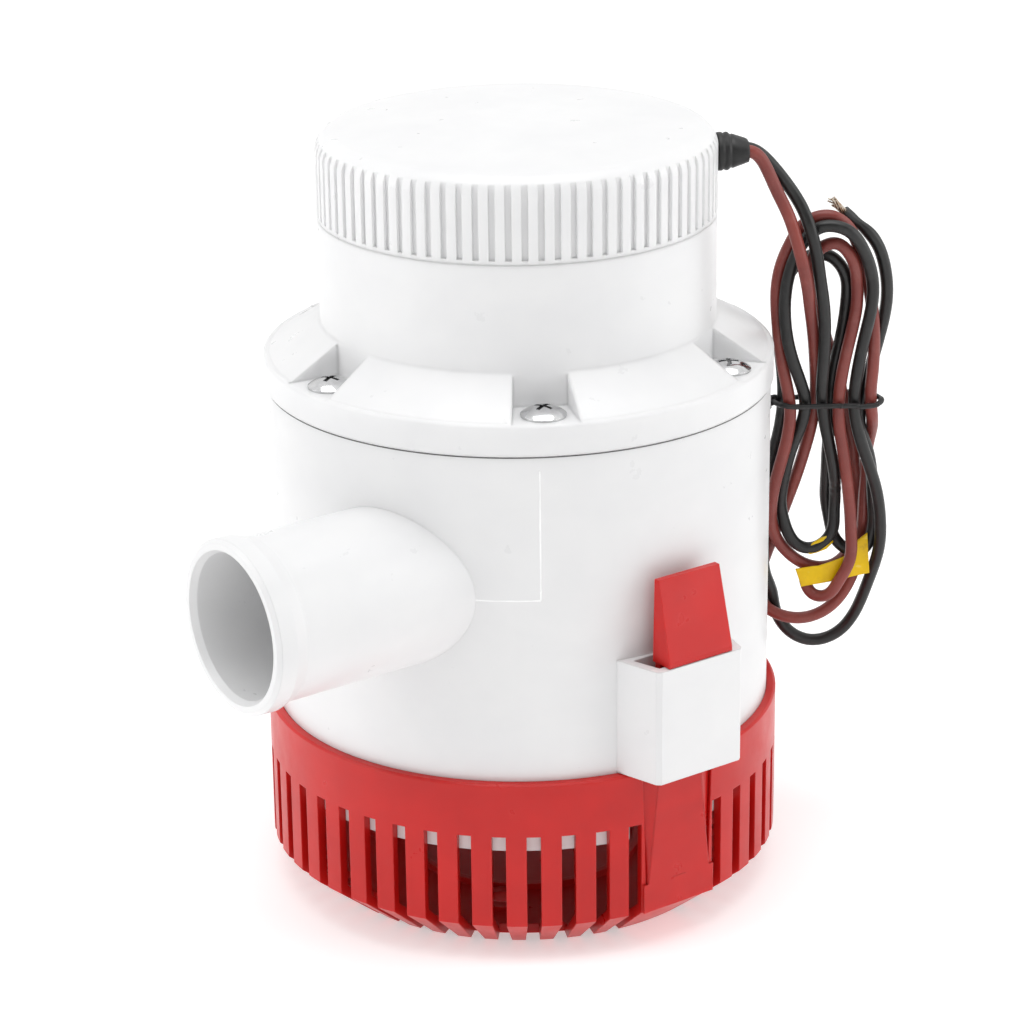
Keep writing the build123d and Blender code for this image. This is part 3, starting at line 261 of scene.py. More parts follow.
def insulation(name, base, alt, chalk, rough):
    """Extruded PVC: slow shade changes, chalky handling marks, strands faintly showing."""
    s = Surface(name)
    color = s.ramp(s.noise(70.0, detail=4.0, rough=0.6), (0.3, alt), (0.7, base))
    rubs = s.noise(210.0, detail=5.0, rough=0.65)
    color = s.mix(s.remap(rubs, over=(0.52, 0.8), to=(0.0, 0.35)), color, chalk)
    flecks = s.noise(1500.0, rough=0.7)
    color = s.mix(s.remap(flecks, over=(0.6, 0.85), to=(0.0, 0.25)), color, chalk)
    sheen = s.remap(s.noise(260.0, detail=4.0), to=rough)
    strands = s.wave(210.0, "DIAGONAL", distortion=1.5)
    normal = s.bump(strands, strength=0.05, distance=0.00008)
    normal = s.bump(s.noise(1300.0, rough=0.6), strength=0.14, distance=0.00008, normal=normal)
    return s.finish(color=color, rough=sheen, normal=normal, spec=0.45)


# ---------------------------------------------------------------- single materials
def witness():
    """Low glossy ridge left by the mould split, made brighter than the faces beside it by a
    painted highlight: a lighter colour and a faint white glow.
    """
    s = Surface("abs_white_witness")
    tone = s.noise(160.0)
    # the lighter colour ramp and the faint white glow below are a painted highlight along the
    # ridge
    return s.finish(
        color=s.ramp(tone, (0.35, (0.86, 0.86, 0.865)), (0.65, (0.92, 0.92, 0.92))),
        rough=s.remap(s.noise(700.0, detail=2.0), over=(0.0, 1.0), to=(0.18, 0.32)),
        spec=0.6, glow_color=(1.0, 1.0, 1.0), glow=s.remap(tone, to=(0.05, 0.11)))


def laminations():
    """Stacked steel sheets with rust patches."""
    s = Surface("laminations_stacked")
    sheets = s.wave(320.0, "Z", distortion=0.15)
    color = s.mix(s.remap(sheets, over=(0.2, 0.8)), (0.10, 0.105, 0.12), (0.34, 0.35, 0.38))
    rust = s.noise(130.0, detail=5.0, rough=0.7)
    color = s.mix(s.remap(rust, over=(0.58, 0.78), to=(0.0, 0.5)), color, (0.20, 0.10, 0.05))
    sheen = s.remap(s.noise(700.0), to=(0.36, 0.62))
    normal = s.bump(sheets, strength=0.6, distance=0.0002)
    return s.finish(color=color, rough=sheen, metal=0.85, normal=normal)


def windings():
    """Enamelled copper turns."""
    s = Surface("copper_enamelled_turns")
    turns = s.wave(260.0, "DIAGONAL", distortion=1.2, detail=1.0)
    color = s.mix(turns, (0.26, 0.085, 0.030), (0.72, 0.33, 0.15))
    shade = s.remap(s.noise(160.0, detail=4.0), over=(0.4, 0.75), to=(0.0, 0.5))
    color = s.mix(shade, color, (0.42, 0.15, 0.05))
    normal = s.bump(turns, strength=0.8, distance=0.0004)
    return s.finish(color=color, rough=s.remap(s.noise(400.0), to=(0.22, 0.4)), metal=0.8,
                    normal=normal, coat=0.5)


def commutator_copper():
    """Copper with dark brush tracks."""
    s = Surface("copper_commutator")
    tracks = s.wave(500.0, "Z", distortion=0.5)
    color = s.mix(s.remap(tracks, over=(0.3, 0.9), to=(0.0, 0.6)),
                  (0.70, 0.36, 0.20), (0.26, 0.13, 0.08))
    soot = s.remap(s.noise(320.0, detail=4.0), over=(0.45, 0.75), to=(0.0, 0.35))
    color = s.mix(soot, color, (0.14, 0.08, 0.06))
    normal = s.bump(tracks, strength=0.2, distance=0.0001, normal=s.bevel(0.0002))
    sheen = s.remap(s.noise(900.0, detail=2.0), to=(0.2, 0.38))
    return s.finish(color=color, rough=sheen, metal=1.0, normal=normal)


def label_yellow():
    """Vinyl tape with faint creases and small soiled flecks."""
    s = Surface("vinyl_yellow")
    color = s.ramp(s.noise(130.0, detail=4.0, rough=0.6),
                   (0.3, (0.74, 0.46, 0.0)), (0.7, (0.90, 0.60, 0.001)))
    creases = s.streaks((90, 260, 420), turn=(0.2, 0.5, 0.1), detail=2.0)
    creases = s.remap(creases, over=(0.62, 0.66))
    color = s.mix(s.math("MULTIPLY", creases, 0.35), color, (0.90, 0.76, 0.22))
    soil = s.noise(420.0, detail=5.0, rough=0.7)
    color = s.mix(s.remap(soil, over=(0.58, 0.8), to=(0.0, 0.45)), color, (0.30, 0.17, 0.02))
    normal = s.bump(creases, strength=0.2, distance=0.0001)
    normal = s.bump(s.noise(2600.0, detail=2.0), strength=0.08, distance=0.00005, normal=normal)
    return s.finish(color=color, rough=s.remap(s.noise(300.0), to=(0.34, 0.5)),
                    normal=normal, spec=0.3)


def tinned():
    """Tinned copper wire, worn through in places."""
    s = Surface("tinned_copper_strand")
    color = s.ramp(s.noise(900.0, detail=4.0, rough=0.6), (0.35, (0.30, 0.18, 0.10)),
                   (0.6, (0.62, 0.56, 0.48)), (0.8, (0.75, 0.74, 0.72)))
    lay = s.wave(900.0, "DIAGONAL", distortion=1.0)
    normal = s.bump(lay, strength=0.3, distance=0.00006)
    sheen = s.remap(s.noise(1200.0, detail=2.0), to=(0.28, 0.5))
    return s.finish(color=color, rough=sheen, metal=1.0, normal=normal)


# ---------------------------------------------------------------- materials in use
# The (colour, amount) pairs given for corners below paint shade into corners and recesses.
WHITE = plastic("abs_white_moulded", base=(0.80, 0.80, 0.802), alt=(0.765, 0.766, 0.772),
                edge_color=(0.86, 0.86, 0.86), corner_shade=((0.42, 0.41, 0.39), 0.10))
RED = plastic("abs_red_moulded", base=(0.575, 0.0090, 0.0070), alt=(0.50, 0.0070, 0.0055),
              edge_color=(0.70, 0.040, 0.030), spec=0.38, peel=0.08, mottle=60.0,
              corner_shade=((0.26, 0.010, 0.010), 0.12), sss=0.30, sss_radius=(1.0, 0.06, 0.04))
SOFT_WHITES = dict(base=(0.82, 0.82, 0.822), alt=(0.785, 0.786, 0.792),
                   edge_color=(0.84, 0.84, 0.84), sss=0.55)
WHITE_SOFT = plastic("abs_white_round_edges", edge_radius=0.0011, **SOFT_WHITES)
WHITE_RIB = plastic("abs_white_ribbed", peel=0.06, **SOFT_WHITES)
WHITE_LINE = witness()
GREY = plastic("nylon_grey_moulded", base=(0.14, 0.14, 0.15), alt=(0.10, 0.10, 0.11),
               edge_color=(0.24, 0.24, 0.25), rough=(0.42, 0.58), peel=0.22,
               corner_shade=((0.04, 0.04, 0.04), 0.3))
BLACK = plastic("phenolic_black", base=(0.045, 0.045, 0.045), alt=(0.028, 0.028, 0.028),
                edge_color=(0.10, 0.10, 0.10), rough=(0.40, 0.58), peel=0.2,
                corner_shade=((0.02, 0.02, 0.02), 0.3))
# its near-black darkening colour paints a contact shadow round the screw heads in corners, and
# dark patches elsewhere
STAINLESS = metal("stainless_bright", base=(0.72, 0.72, 0.72), alt=(0.58, 0.58, 0.59),
                  rough=(0.08, 0.19), brush="X", brush_scale=2600.0, bump=0.10,
                  tarnish_and_shade=(0.10, 0.10, 0.10), tarnish_and_shade_amount=0.35)
STEEL = metal("steel_ground", base=(0.62, 0.62, 0.63), alt=(0.48, 0.48, 0.50),
              rough=(0.2, 0.38), tarnish_and_shade=(0.16, 0.13, 0.10), tarnish_and_shade_amount=0.25)
ZINC = metal("steel_zinc_plated", base=(0.66, 0.67, 0.66), alt=(0.54, 0.56, 0.58),
             rough=(0.28, 0.48), brush_scale=420.0,
             tarnish_and_shade=(0.40, 0.38, 0.30), tarnish_and_shade_amount=0.35)
ALUMINIUM = metal("aluminium_die_cast", base=(0.62, 0.62, 0.64), alt=(0.50, 0.50, 0.52),
                  rough=(0.38, 0.58), brush="X", brush_scale=300.0, bump=0.25,
                  tarnish_and_shade=(0.30, 0.30, 0.31), tarnish_and_shade_amount=0.4)
BRASS = metal("brass_turned", base=(0.76, 0.56, 0.24), alt=(0.62, 0.43, 0.17),
              rough=(0.2, 0.36), tarnish_and_shade=(0.22, 0.12, 0.05), tarnish_and_shade_amount=0.4)
# matt dark grey for the ring set in the flange seam
SEAM_GREY = rubber("seam_line_grey", base=(0.15, 0.15, 0.152), alt=(0.10, 0.10, 0.10),
                rough=(0.45, 0.65), bump=0.15, dust_amount=0.08)
FERRITE = rubber("ferrite_sintered", base=(0.065, 0.066, 0.072), alt=(0.045, 0.045, 0.05),
                 rough=(0.55, 0.78), bump=0.5, dust=(0.12, 0.12, 0.125), dust_amount=0.3)
CARBON = rubber("brush_carbon", base=(0.04, 0.04, 0.042), alt=(0.022, 0.022, 0.024),
                rough=(0.38, 0.6), bump=0.35, dust=(0.20, 0.12, 0.07), dust_amount=0.2)
RUBBER = rubber("rubber_black", base=(0.016, 0.016, 0.0165), alt=(0.009, 0.009, 0.009),
                rough=(0.34, 0.54), bump=0.18, dust_amount=0.06)
PVC_RED = insulation("pvc_red_brown", base=(0.262, 0.050, 0.038), alt=(0.180, 0.031, 0.025),
                     chalk=(0.33, 0.13, 0.11), rough=(0.32, 0.48))
PVC_BLACK = insulation("pvc_black", base=(0.013, 0.013, 0.0125), alt=(0.007, 0.007, 0.007),
                       chalk=(0.055, 0.055, 0.055), rough=(0.30, 0.46))
LAMINATIONS = laminations()
WINDINGS = windings()
COMMUTATOR = commutator_copper()
YELLOW = label_yellow()
TINNED = tinned()

FINISHES = {
    "strainer_base": RED, "latch_finger_front": RED, "latch_finger_rear": RED,
    "volute_housing": WHITE, "motor_housing": WHITE_SOFT, "motor_cap": WHITE_RIB,
    "intake_plate": WHITE, "intake_screws": STAINLESS, "housing_screws": STAINLESS,
    "seal_retainer": STAINLESS, "body_oring": RUBBER, "cap_oring": RUBBER,
    "shaft_seal": RUBBER, "cable_gland": RUBBER, "impeller": GREY, "impeller_nut": BRASS,
    "motor_shaft": STEEL, "motor_can": ZINC, "magnets": FERRITE,
    "front_end_plate": ALUMINIUM, "rear_end_bell": BLACK, "front_bearing": STEEL,
    "rear_bearing": STEEL, "armature_core": LAMINATIONS, "armature_windings": WINDINGS,
    "commutator": COMMUTATOR, "brush_holders": BRASS, "brushes": CARBON,
    "brush_springs": STEEL, "terminals": BRASS, "through_bolts": ZINC, "lead_red": PVC_RED,
    "lead_black": PVC_BLACK, "lead_strands": TINNED, "twist_tie": RUBBER, "lead_tag": YELLOW,
}
for name, piece in NODES.items():
    if not piece.material_slots:
        piece.data.materials.append(FINISHES[name])
    for slot in piece.material_slots:
        slot.material = FINISHES[name]


# ---------------------------------------------------------------- mesh helpers
def mm(*xyz):
    return Vector(xyz) * MM


def mesh_object(name, verts, faces, material, smooth=True):
    mesh = bpy.data.meshes.new(name)
    mesh.from_pydata([tuple(v) for v in verts], [], faces)
    mesh.validate()
    mesh.update()
    mesh.materials.append(material)
    made = bpy.data.objects.new(name, mesh)
    bpy.context.scene.collection.objects.link(made)
    if smooth:
        mesh.polygons.foreach_set("use_smooth", [True] * len(mesh.polygons))
    return made


def ring_faces(count, sides, closed=False):
    """Faces over count rings of points: closed round on themselves, or capped at both ends."""
    faces = []
    for i in range(count if closed else count - 1):
        j = (i + 1) % count
        for k in range(sides):
            l = (k + 1) % sides
            faces.append((i * sides + k, i * sides + l, j * sides + l, j * sides + k))
    if not closed:
        faces.append(tuple(range(sides))[::-1])
        faces.append(tuple((count - 1) * sides + k for k in range(sides)))
    return faces


def join(parts):
    verts, faces = [], []
    for part_verts, part_faces in parts:
        first = len(verts)
        verts += part_verts
        faces += [tuple(i + first for i in face) for face in part_faces]
    return verts, faces


def smooth_loop(points, step):
    """Closed Catmull-Rom curve through the points, each span cut into lengths of about step."""
    count = len(points)
    curve = []
    for i in range(count):
        p0, p1, p2, p3 = (points[(i + k) % count] for k in (-1, 0, 1, 2))
        cuts = max(2, int((p2 - p1).length / step))
        for j in range(cuts):
            t = j / cuts
            curve.append(0.5 * ((2 * p1) + (p2 - p0) * t
                                + (2 * p0 - 5 * p1 + 4 * p2 - p3) * t * t
                                + (3 * p1 - p0 - 3 * p2 + p3) * t ** 3))
    return curve


def tube(points, radius, sides, closed=False):
    """Round tube along the points without twist; radius is a function of 0..1 along it."""
    count = len(points)
    tangents = []
    for i in range(count):
        before = points[(i - 1) % count] if (closed or i) else points[0]
        after = points[(i + 1) % count] if (closed or i < count - 1) else points[-1]
        tangents.append((after - before).normalized())
    first = tangents[0]
    start = UP if abs(first.z) < 0.9 else Vector((1, 0, 0))
    across = (start - first * start.dot(first)).normalized()
    verts = []
    for i, tangent in enumerate(tangents):
        across = (across - tangent * across.dot(tangent)).normalized()
        other = tangent.cross(across)
        size = radius(i / (count - 1))
        for k in range(sides):
            a = 2 * math.pi * k / sides
            verts.append(points[i] + (across * math.cos(a) + other * math.sin(a)) * size)
    return verts, ring_faces(count, sides, closed)


# ---------------------------------------------------------------- twist tie round the hank
TIE_Z = 110.4
TIE_OFFSET = 2.58
TIE_RADIUS = 0.66
TIE_END_RADIUS = 0.6
# (x, y) of the leads that the tie goes round
HANK_POINTS = [(77.35, -28.48), (63.66, -21.83), (62.8, -25.54), (73.07, -31.69),
               (76.49, -33.58), (80.47, -35.17), (81.0, -31.65)]


def half_hull(points):
    """The points, sorted one way along x, that bound the set on the right of travel."""
    chain = []
    for p in points:
        while len(chain) > 1:
            a, b = chain[-2], chain[-1]
            if (b.x - a.x) * (p.y - a.y) - (b.y - a.y) * (p.x - a.x) > 0:
                break
            chain.pop()
        chain.append(p)
    return chain[:-1]


def rounded_hull(points, offset):
    """Convex outline of the points grown by offset, corners rounded, counter clockwise."""
    ordered = sorted([Vector(p) for p in points], key=lambda p: (p.x, p.y))
    hull = half_hull(ordered) + half_hull(ordered[::-1])
    outline = []
    for i, corner in enumerate(hull):
        arriving = corner - hull[i - 1]
        leaving = hull[(i + 1) % len(hull)] - corner
        start, end = (math.atan2(-d.x, d.y) for d in (arriving, leaving))
        while end < start:
            end += 2 * math.pi
        steps = max(2, int((end - start) / 0.35))
        for k in range(steps + 1):
            a = start + (end - start) * k / steps
            outline.append((corner.x + offset * math.cos(a), corner.y + offset * math.sin(a)))
    return outline


def tie_loop():
    outline = rounded_hull(HANK_POINTS, TIE_OFFSET)
    points = []
    for i, (x, y) in enumerate(outline):
        a = i / len(outline) * 2 * math.pi
        points.append(mm(x, y, TIE_Z + 0.35 * math.sin(a * 2 + 0.7) + 0.15 * math.sin(a * 5)))
    return tube(smooth_loop(points, step=0.6 * MM),
                lambda f: TIE_RADIUS * MM * (1 + 0.06 * math.sin(f * 90)), 12, closed=True)


def tie_end(phase):
    """One of the two ends, wound on each other on the side of the hank by the housing."""
    start = mm(62.2, -20.9, TIE_Z)
    points = []
    for k in range(34):
        t = k / 33
        centre = start + mm(-1.6 * math.sin(t * 1.5), 1.0 * t + 0.6 * t * t,
                            1.6 * t - 3.6 * t * t)
        a = phase + t * 9.5
        points.append(centre + mm(0.62 * math.cos(a), 0.5 * math.sin(a),
                                  0.62 * math.sin(a + 0.5)))
    return tube(points,
                lambda f: TIE_END_RADIUS * MM * (1 - 0.25 * max(0, f - 0.85) / 0.15), 10)


tie = mesh_object("hank_tie_wire", *join([tie_loop(), tie_end(0), tie_end(math.pi)]), RUBBER)
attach(tie, "pump")
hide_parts("twist_tie")

# ---------------------------------------------------------------- yellow tag
# The tag stands upright, its face square to GLAND_SIDE. Outlines are (distance along
# GLAND_OUT, z); depths are distances along GLAND_SIDE.
TAG_OUTLINE = [(70.7, 64.29), (72.32, 59.36), (89.56, 62.23), (88.77, 73.03),
               (86.03, 71.02), (83.08, 67.15), (76.53, 64.8)]
TAG_DEPTH = 16.75
FLAP_OUTLINE = [(73.6, 68.6), (75.2, 70.6), (77.4, 72.0), (79.9, 72.7),
                (80.4, 70.6), (78.6, 68.9), (76.2, 67.9), (74.4, 67.6)]
FLAP_DEPTH = 17.9
TAG_THICKNESS = 0.26


def tag_point(along, z, depth):
    flat = (GLAND_SIDE * depth + GLAND_OUT * along) * MM
    return Vector((flat.x, flat.y, z * MM))


def tag_sheet():
    """The gently rippled main sheet."""
    bm = bmesh.new()
    bm.faces.new([bm.verts.new((along, z, 0)) for along, z in TAG_OUTLINE])
    bmesh.ops.triangulate(bm, faces=bm.faces[:])
    for _ in range(4):
        bmesh.ops.subdivide_edges(bm, edges=bm.edges[:], cuts=1, use_grid_fill=True)
    bmesh.ops.smooth_vert(bm, verts=[v for v in bm.verts if not v.is_boundary], factor=0.5,
                          use_axis_x=True, use_axis_y=True, use_axis_z=False)
    verts = []
    for v in bm.verts:
        along, z = v.co.x, v.co.y
        ripple = (0.22 * math.sin((along - 70) * 0.42)
                  + 0.10 * math.sin((z - 60) * 0.9 + along * 0.3))
        verts.append(tag_point(along, z, TAG_DEPTH + ripple))
    bm.verts.index_update()
    faces = [tuple(v.index for v in face.verts) for face in bm.faces]
    bm.free()
    return verts, faces


def tag_flap():
    """A folded corner of the tag showing higher up, inside the loops."""
    count = len(FLAP_OUTLINE)
    centre_along = sum(p[0] for p in FLAP_OUTLINE) / count
    centre_z = sum(p[1] for p in FLAP_OUTLINE) / count
    verts, faces = [], []
    for shrink in (1.0, 0.72, 0.4):
        for along, z in FLAP_OUTLINE:
            along = centre_along + (along - centre_along) * shrink
            z = centre_z + (z - centre_z) * shrink
            verts.append(tag_point(along, z, FLAP_DEPTH + 0.18 * math.sin(along * 1.1)))
    verts.append(tag_point(centre_along, centre_z, FLAP_DEPTH))
    for ring in (0, count):
        for i in range(count):
            j = (i + 1) % count
            faces.append((ring + i, ring + j, ring + count + j, ring + count + i))
    for i in range(count):
        faces.append((2 * count + i, 2 * count + (i + 1) % count, 3 * count))
    return verts, faces


tag = mesh_object("hank_tag", *join([tag_sheet(), tag_flap()]), YELLOW)
thickness = tag.modifiers.new("thickness", "SOLIDIFY")
thickness.thickness = TAG_THICKNESS * MM
thickness.offset = 0.0
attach(tag, "pump")
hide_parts("lead_tag")

# ---------------------------------------------------------------- latch fingers
HINGE_Z = next(j["pos_m"][2] * 1000 for j in frame["joints"] if j["name"] == "latch_front_press")
NOTCH_Z = HINGE_Z - 0.45
PANEL_Y = 61.9              # outer face of pad and finger, from the pump axis
SKIN_BACK_Y = 61.60
SKIN_BOTTOM, SKIN_TOP = 10.2, 40.0
PAD_HALF = 10.30
FINGER_ROOT_HALF, FINGER_TIP_HALF = 9.2, 6.1
FINGER_BASE_Z, FINGER_TIP_Z = HINGE_Z - 2, 43.5
SKIN_COLUMNS = 31


def half_width(z):
    """Half width of the moulded panel: the pad below the notch, the finger above it."""
    if z <= NOTCH_Z:
        return PAD_HALF
    return FINGER_ROOT_HALF + ((FINGER_TIP_HALF - FINGER_ROOT_HALF) * (z - FINGER_BASE_Z)
                               / (FINGER_TIP_Z - FINGER_BASE_Z))


def skin_heights():
    """Even rows on the pad, close rows at the notch, even rows up the finger."""
    heights = [SKIN_BOTTOM + 0.4 * i for i in range(16)]
    heights += [NOTCH_Z + dz for dz in (-0.12, 0.0, 0.02, 0.2)]
    z = NOTCH_Z + 0.6
    while z < SKIN_TOP:
        heights.append(z)
        z += 0.6
    return heights


def hinge_skin(name, side):
    """The outer face of pad and finger as one moulded sheet across the flexing root. It is
    thickest at the root and runs out to nothing up the finger and down the pad."""
    heights = skin_heights()
    outer, inner = [], []
    for z in heights:
        t = max(0.0, min(1.0, (z - SKIN_BOTTOM) / 5.0, (SKIN_TOP - z) / 20.0))
        lift = -0.015 + 0.075 * t * t * (3 - 2 * t)
        half = half_width(z) + (0.02 if t > 0.02 else -0.1)
        for j in range(SKIN_COLUMNS):
            f = -1 + 2 * j / (SKIN_COLUMNS - 1)
            # columns crowd towards both edges, where the sheet rounds off
            if abs(f) > 0.5:
                f = math.copysign(1 - (1 - abs(f)) ** 1.6, f)
            x = half * f
            inset = min(1.0, max(0.0, (half - abs(x)) / 0.30))
            outer.append(mm(x, side * (PANEL_Y + lift - 0.06 * (1 - math.sqrt(inset))), z))
            inner.append(mm(x, side * SKIN_BACK_Y, z))
    rows, columns, back = len(heights), SKIN_COLUMNS, len(outer)

    def wall(a, b):
        return (a, b, back + b, back + a)

    faces = []
    for i in range(rows - 1):
        for j in range(columns - 1):
            a = i * columns + j
            quad = (a, a + 1, a + columns + 1, a + columns)
            faces.append(quad)
            faces.append(tuple(back + q for q in quad[::-1]))
    top = (rows - 1) * columns
    for j in range(columns - 1):
        faces.append(wall(j, j + 1)[::-1])
        faces.append(wall(top + j, top + j + 1))
    for i in range(rows - 1):
        a, b = i * columns, (i + 1) * columns
        faces.append(wall(a, b))
        faces.append(wall(a + columns - 1, b + columns - 1)[::-1])
    if side > 0:
        faces = [face[::-1] for face in faces]
    return mesh_object(name, outer + inner, faces, RED, smooth=False)


def draft_wings(name, side):
    """The sloping side faces of a finger, from its panel edges back into the V-shaped gaps."""
    heights = [NOTCH_Z + 0.15 + 0.5 * i for i in range(58)]
    wings = []
    for side_x in (-1, 1):
        verts = []
        for z in heights:
            near = max(FINGER_TIP_HALF, half_width(z))
            far = max(min(9.16 + (z - NOTCH_Z) / 29.9, 10.1), near + 0.05)
            # section as (x, y): panel edge, slope, then back under the panel
            section = ((near - 0.02, 61.885), (near + (far - near) * 0.12, 61.78),
                       (near + (far - near) * 0.9, 60.50), (far, 60.36), (far, 60.15),
                       (near - 0.4, 60.15))
            verts += [mm(side_x * x, side * y, z) for x, y in section]
        faces = ring_faces(len(heights), len(section))
        if side_x * side < 0:
            faces = [face[::-1] for face in faces]
        wings.append((verts, faces))
    return mesh_object(name, *join(wings), RED, smooth=False)


LATCHES = (("front", -1), ("rear", 1))
for end, side in LATCHES:
    skin = hinge_skin("latch_root_" + end, side)
    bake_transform(skin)
for end, side in LATCHES:
    wings = draft_wings("latch_draft_" + end, side)
    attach(wings, "latch_" + end)

# ---------------------------------------------------------------- dark ring in the seam under the flange
# (radius, z) round the closed section
SEAM_RING_SECTION = [(59.0, 124.36), (59.78, 124.36), (59.88, 124.41), (59.92, 124.50),
                  (59.90, 124.62), (59.82, 124.72), (59.0, 124.72)]


# A dark grey ring set in the seam under the flange, giving the joint its dark line.
def flange_seam_ring(steps=256):
    verts, faces = [], []
    count = len(SEAM_RING_SECTION)
    for i in range(steps):
        a = 2 * math.pi * i / steps
        verts += [mm(r * math.cos(a), r * math.sin(a), z) for r, z in SEAM_RING_SECTION]
        p, q = i * count, ((i + 1) % steps) * count
        for k in range(count):
            l = (k + 1) % count
            faces.append((p + k, q + k, q + l, p + l))
    return mesh_object("flange_seam_ring", verts, faces, SEAM_GREY)


seam_ring = flange_seam_ring()
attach(seam_ring, "pump")

# ---------------------------------------------------------------- cable gland rings
GLAND_Z = 176.8
GLAND_RADIUS = 4.2
TAPER_START, TAPER_END = 49.45, 54.2        # distances from the pump axis
TAPER_RADIUS = 4.12
TAPER_END_HALF_WIDTH, TAPER_END_HALF_HEIGHT = 3.66, 2.56
# (distance from the pump axis, height above the gland's own surface), outward then back inside
GLAND_ROWS = [
    (46.88, 0.00), (46.95, 0.20), (47.15, 0.30), (47.60, 0.34), (48.05, 0.30), (48.25, 0.12),
    (48.45, 0.05), (48.65, 0.12), (48.85, 0.26), (49.30, 0.30), (49.70, 0.24), (49.90, 0.05),
    (50.25, 0.03), (50.45, 0.20), (50.70, 0.26), (51.60, 0.24), (52.60, 0.22), (53.40, 0.20),
    (53.90, 0.14), (54.15, 0.04), (54.18, -0.12), (53.9, -0.35), (47.0, -0.35)]


def gland_radius(distance, a):
    """The gland's own radius: round, then tapering to an ellipse."""
    if distance <= TAPER_START:
        return GLAND_RADIUS
    f = (distance - TAPER_START) / (TAPER_END - TAPER_START)
    ellipse = 1 / math.sqrt((math.cos(a) / TAPER_END_HALF_WIDTH) ** 2
                            + (math.sin(a) / TAPER_END_HALF_HEIGHT) ** 2)
    return TAPER_RADIUS * (1 - f) + ellipse * f


def gland_rings(sides=72):
    verts = []
    for distance, lift in GLAND_ROWS:
        centre = mm(0, 0, GLAND_Z) + GLAND_OUT * (distance * MM)
        for k in range(sides):
            a = 2 * math.pi * k / sides
            r = (gland_radius(distance, a) + lift) * MM
            verts.append(centre + (GLAND_SIDE * math.cos(a) + UP * math.sin(a)) * r)
    faces = ring_faces(len(GLAND_ROWS), sides, closed=True)
    return mesh_object("gland_rings", verts, faces, RUBBER)


gland = gland_rings()
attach(gland, "pump")

# ---------------------------------------------------------------- mould witness lines
BODY_RADIUS = 59.70
LINE_Z = 90.4
LINE_START, LINE_STEP, LINE_STEPS = -137.5, 0.53, 30        # degrees round the body
# (share of the width, share of the height) of the ridge; the feet are sunk in the body
RIDGE = [(-0.5, -5.0), (-0.49, 0.3), (-0.2, 0.8), (0.0, 1.0), (0.2, 0.8), (0.49, 0.3),
         (0.5, -5.0)]


def on_body(degrees, z):
    a = math.radians(degrees)
    return mm(BODY_RADIUS * math.cos(a), BODY_RADIUS * math.sin(a), z)


def ribbon(points, width, height):
    """A low rounded ridge along points on the body."""
    verts = []
    for i, point in enumerate(points):
        along = (points[min(len(points) - 1, i + 1)] - points[max(0, i - 1)]).normalized()
        outward = Vector((point.x, point.y, 0)).normalized()
        across = along.cross(outward).normalized()
        for x, y in RIDGE:
            verts.append(point + across * (x * width * MM) + outward * (y * height * MM))
    return verts, ring_faces(len(points), len(RIDGE))


def mould_lines():
    """A level line part way round, and an upright one rising from its end."""
    level = [on_body(LINE_START + LINE_STEP * i, LINE_Z) for i in range(LINE_STEPS + 1)]
    upright = [on_body(LINE_START + LINE_STEP * LINE_STEPS, LINE_Z + i) for i in range(32)]
    parts = [ribbon(level, width=0.40, height=0.012), ribbon(upright, width=0.34, height=0.011)]
    return mesh_object("mould_lines", *join(parts), WHITE_LINE)


lines = mould_lines()
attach(lines, "pump")

# ---------------------------------------------------------------- bare strands
STRAND_RADIUS = 0.21
STRAND_TUCK = 0.8 * MM      # start inside the insulation
# (count, radius of the layer, starting turn)
STRAND_LAYERS = [(4, 0.24, 0.3), (8, 0.66, 0.0)]


def stub_ends():
    """Middles of the two ends of the bare stub, the one at the black lead first."""
    low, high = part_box("lead_strands")
    middle = (low + high) / 2
    points = [v.co.copy() for v in NODES["lead_strands"].data.vertices]
    far_a = max(points, key=lambda p: (p - middle).length)
    far_b = max(points, key=lambda p: (p - far_a).length)
    ends = []
    for far in (far_a, far_b):
        group = [p for p in points if (p - far).length < 2.6 * MM]
        ends.append(sum(group, Vector()) / len(group))
    lead = [v.co for v in NODES["lead_black"].data.vertices]
    gaps = [min((p - end).length for p in lead) for end in ends]
    return ends[::-1] if gaps[0] > gaps[1] else ends


def strand_wires():
    draw = random.Random(7)
    start, end = stub_ends()
    axis = (end - start).normalized()
    across = axis.orthogonal().normalized()
    other = axis.cross(across)
    stub = (end - start).length
    strands = []
    for count, layer_radius, turn in STRAND_LAYERS:
        for k in range(count):
            length = stub * draw.uniform(0.72, 1.04)
            flare = draw.uniform(0.00005, 0.00035)
            points = []
            for i in range(15):
                t = i / 14
                a = 2 * math.pi * k / count + turn + 2.4 * t
                r = layer_radius * MM + flare * t ** 3
                points.append(start - axis * STRAND_TUCK + axis * (length + STRAND_TUCK) * t
                              + (across * math.cos(a) + other * math.sin(a)) * r)
            strands.append(tube(points, lambda f: STRAND_RADIUS * MM, 8))
    return mesh_object("lead_strand_wires", *join(strands), TINNED)


strands = strand_wires()
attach(strands, "pump")
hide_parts("lead_strands")


# ---------------------------------------------------------------- floor
def studio_floor():
    bpy.ops.mesh.primitive_plane_add(size=6.0, location=(0, 0, -0.0002))
    floor = bpy.context.object
    floor.name = "studio_floor"
    s = Surface("studio_floor")
    color = s.ramp(s.noise(3.0, detail=2.0), (0.3, (0.78, 0.78, 0.78)), (0.7, (0.80, 0.80, 0.80)))
    floor.data.materials.append(s.finish(color=color, rough=0.6, spec=0.2,
                                         glow_color=(1, 1, 1), glow=0.42))
    return floor


studio_floor()


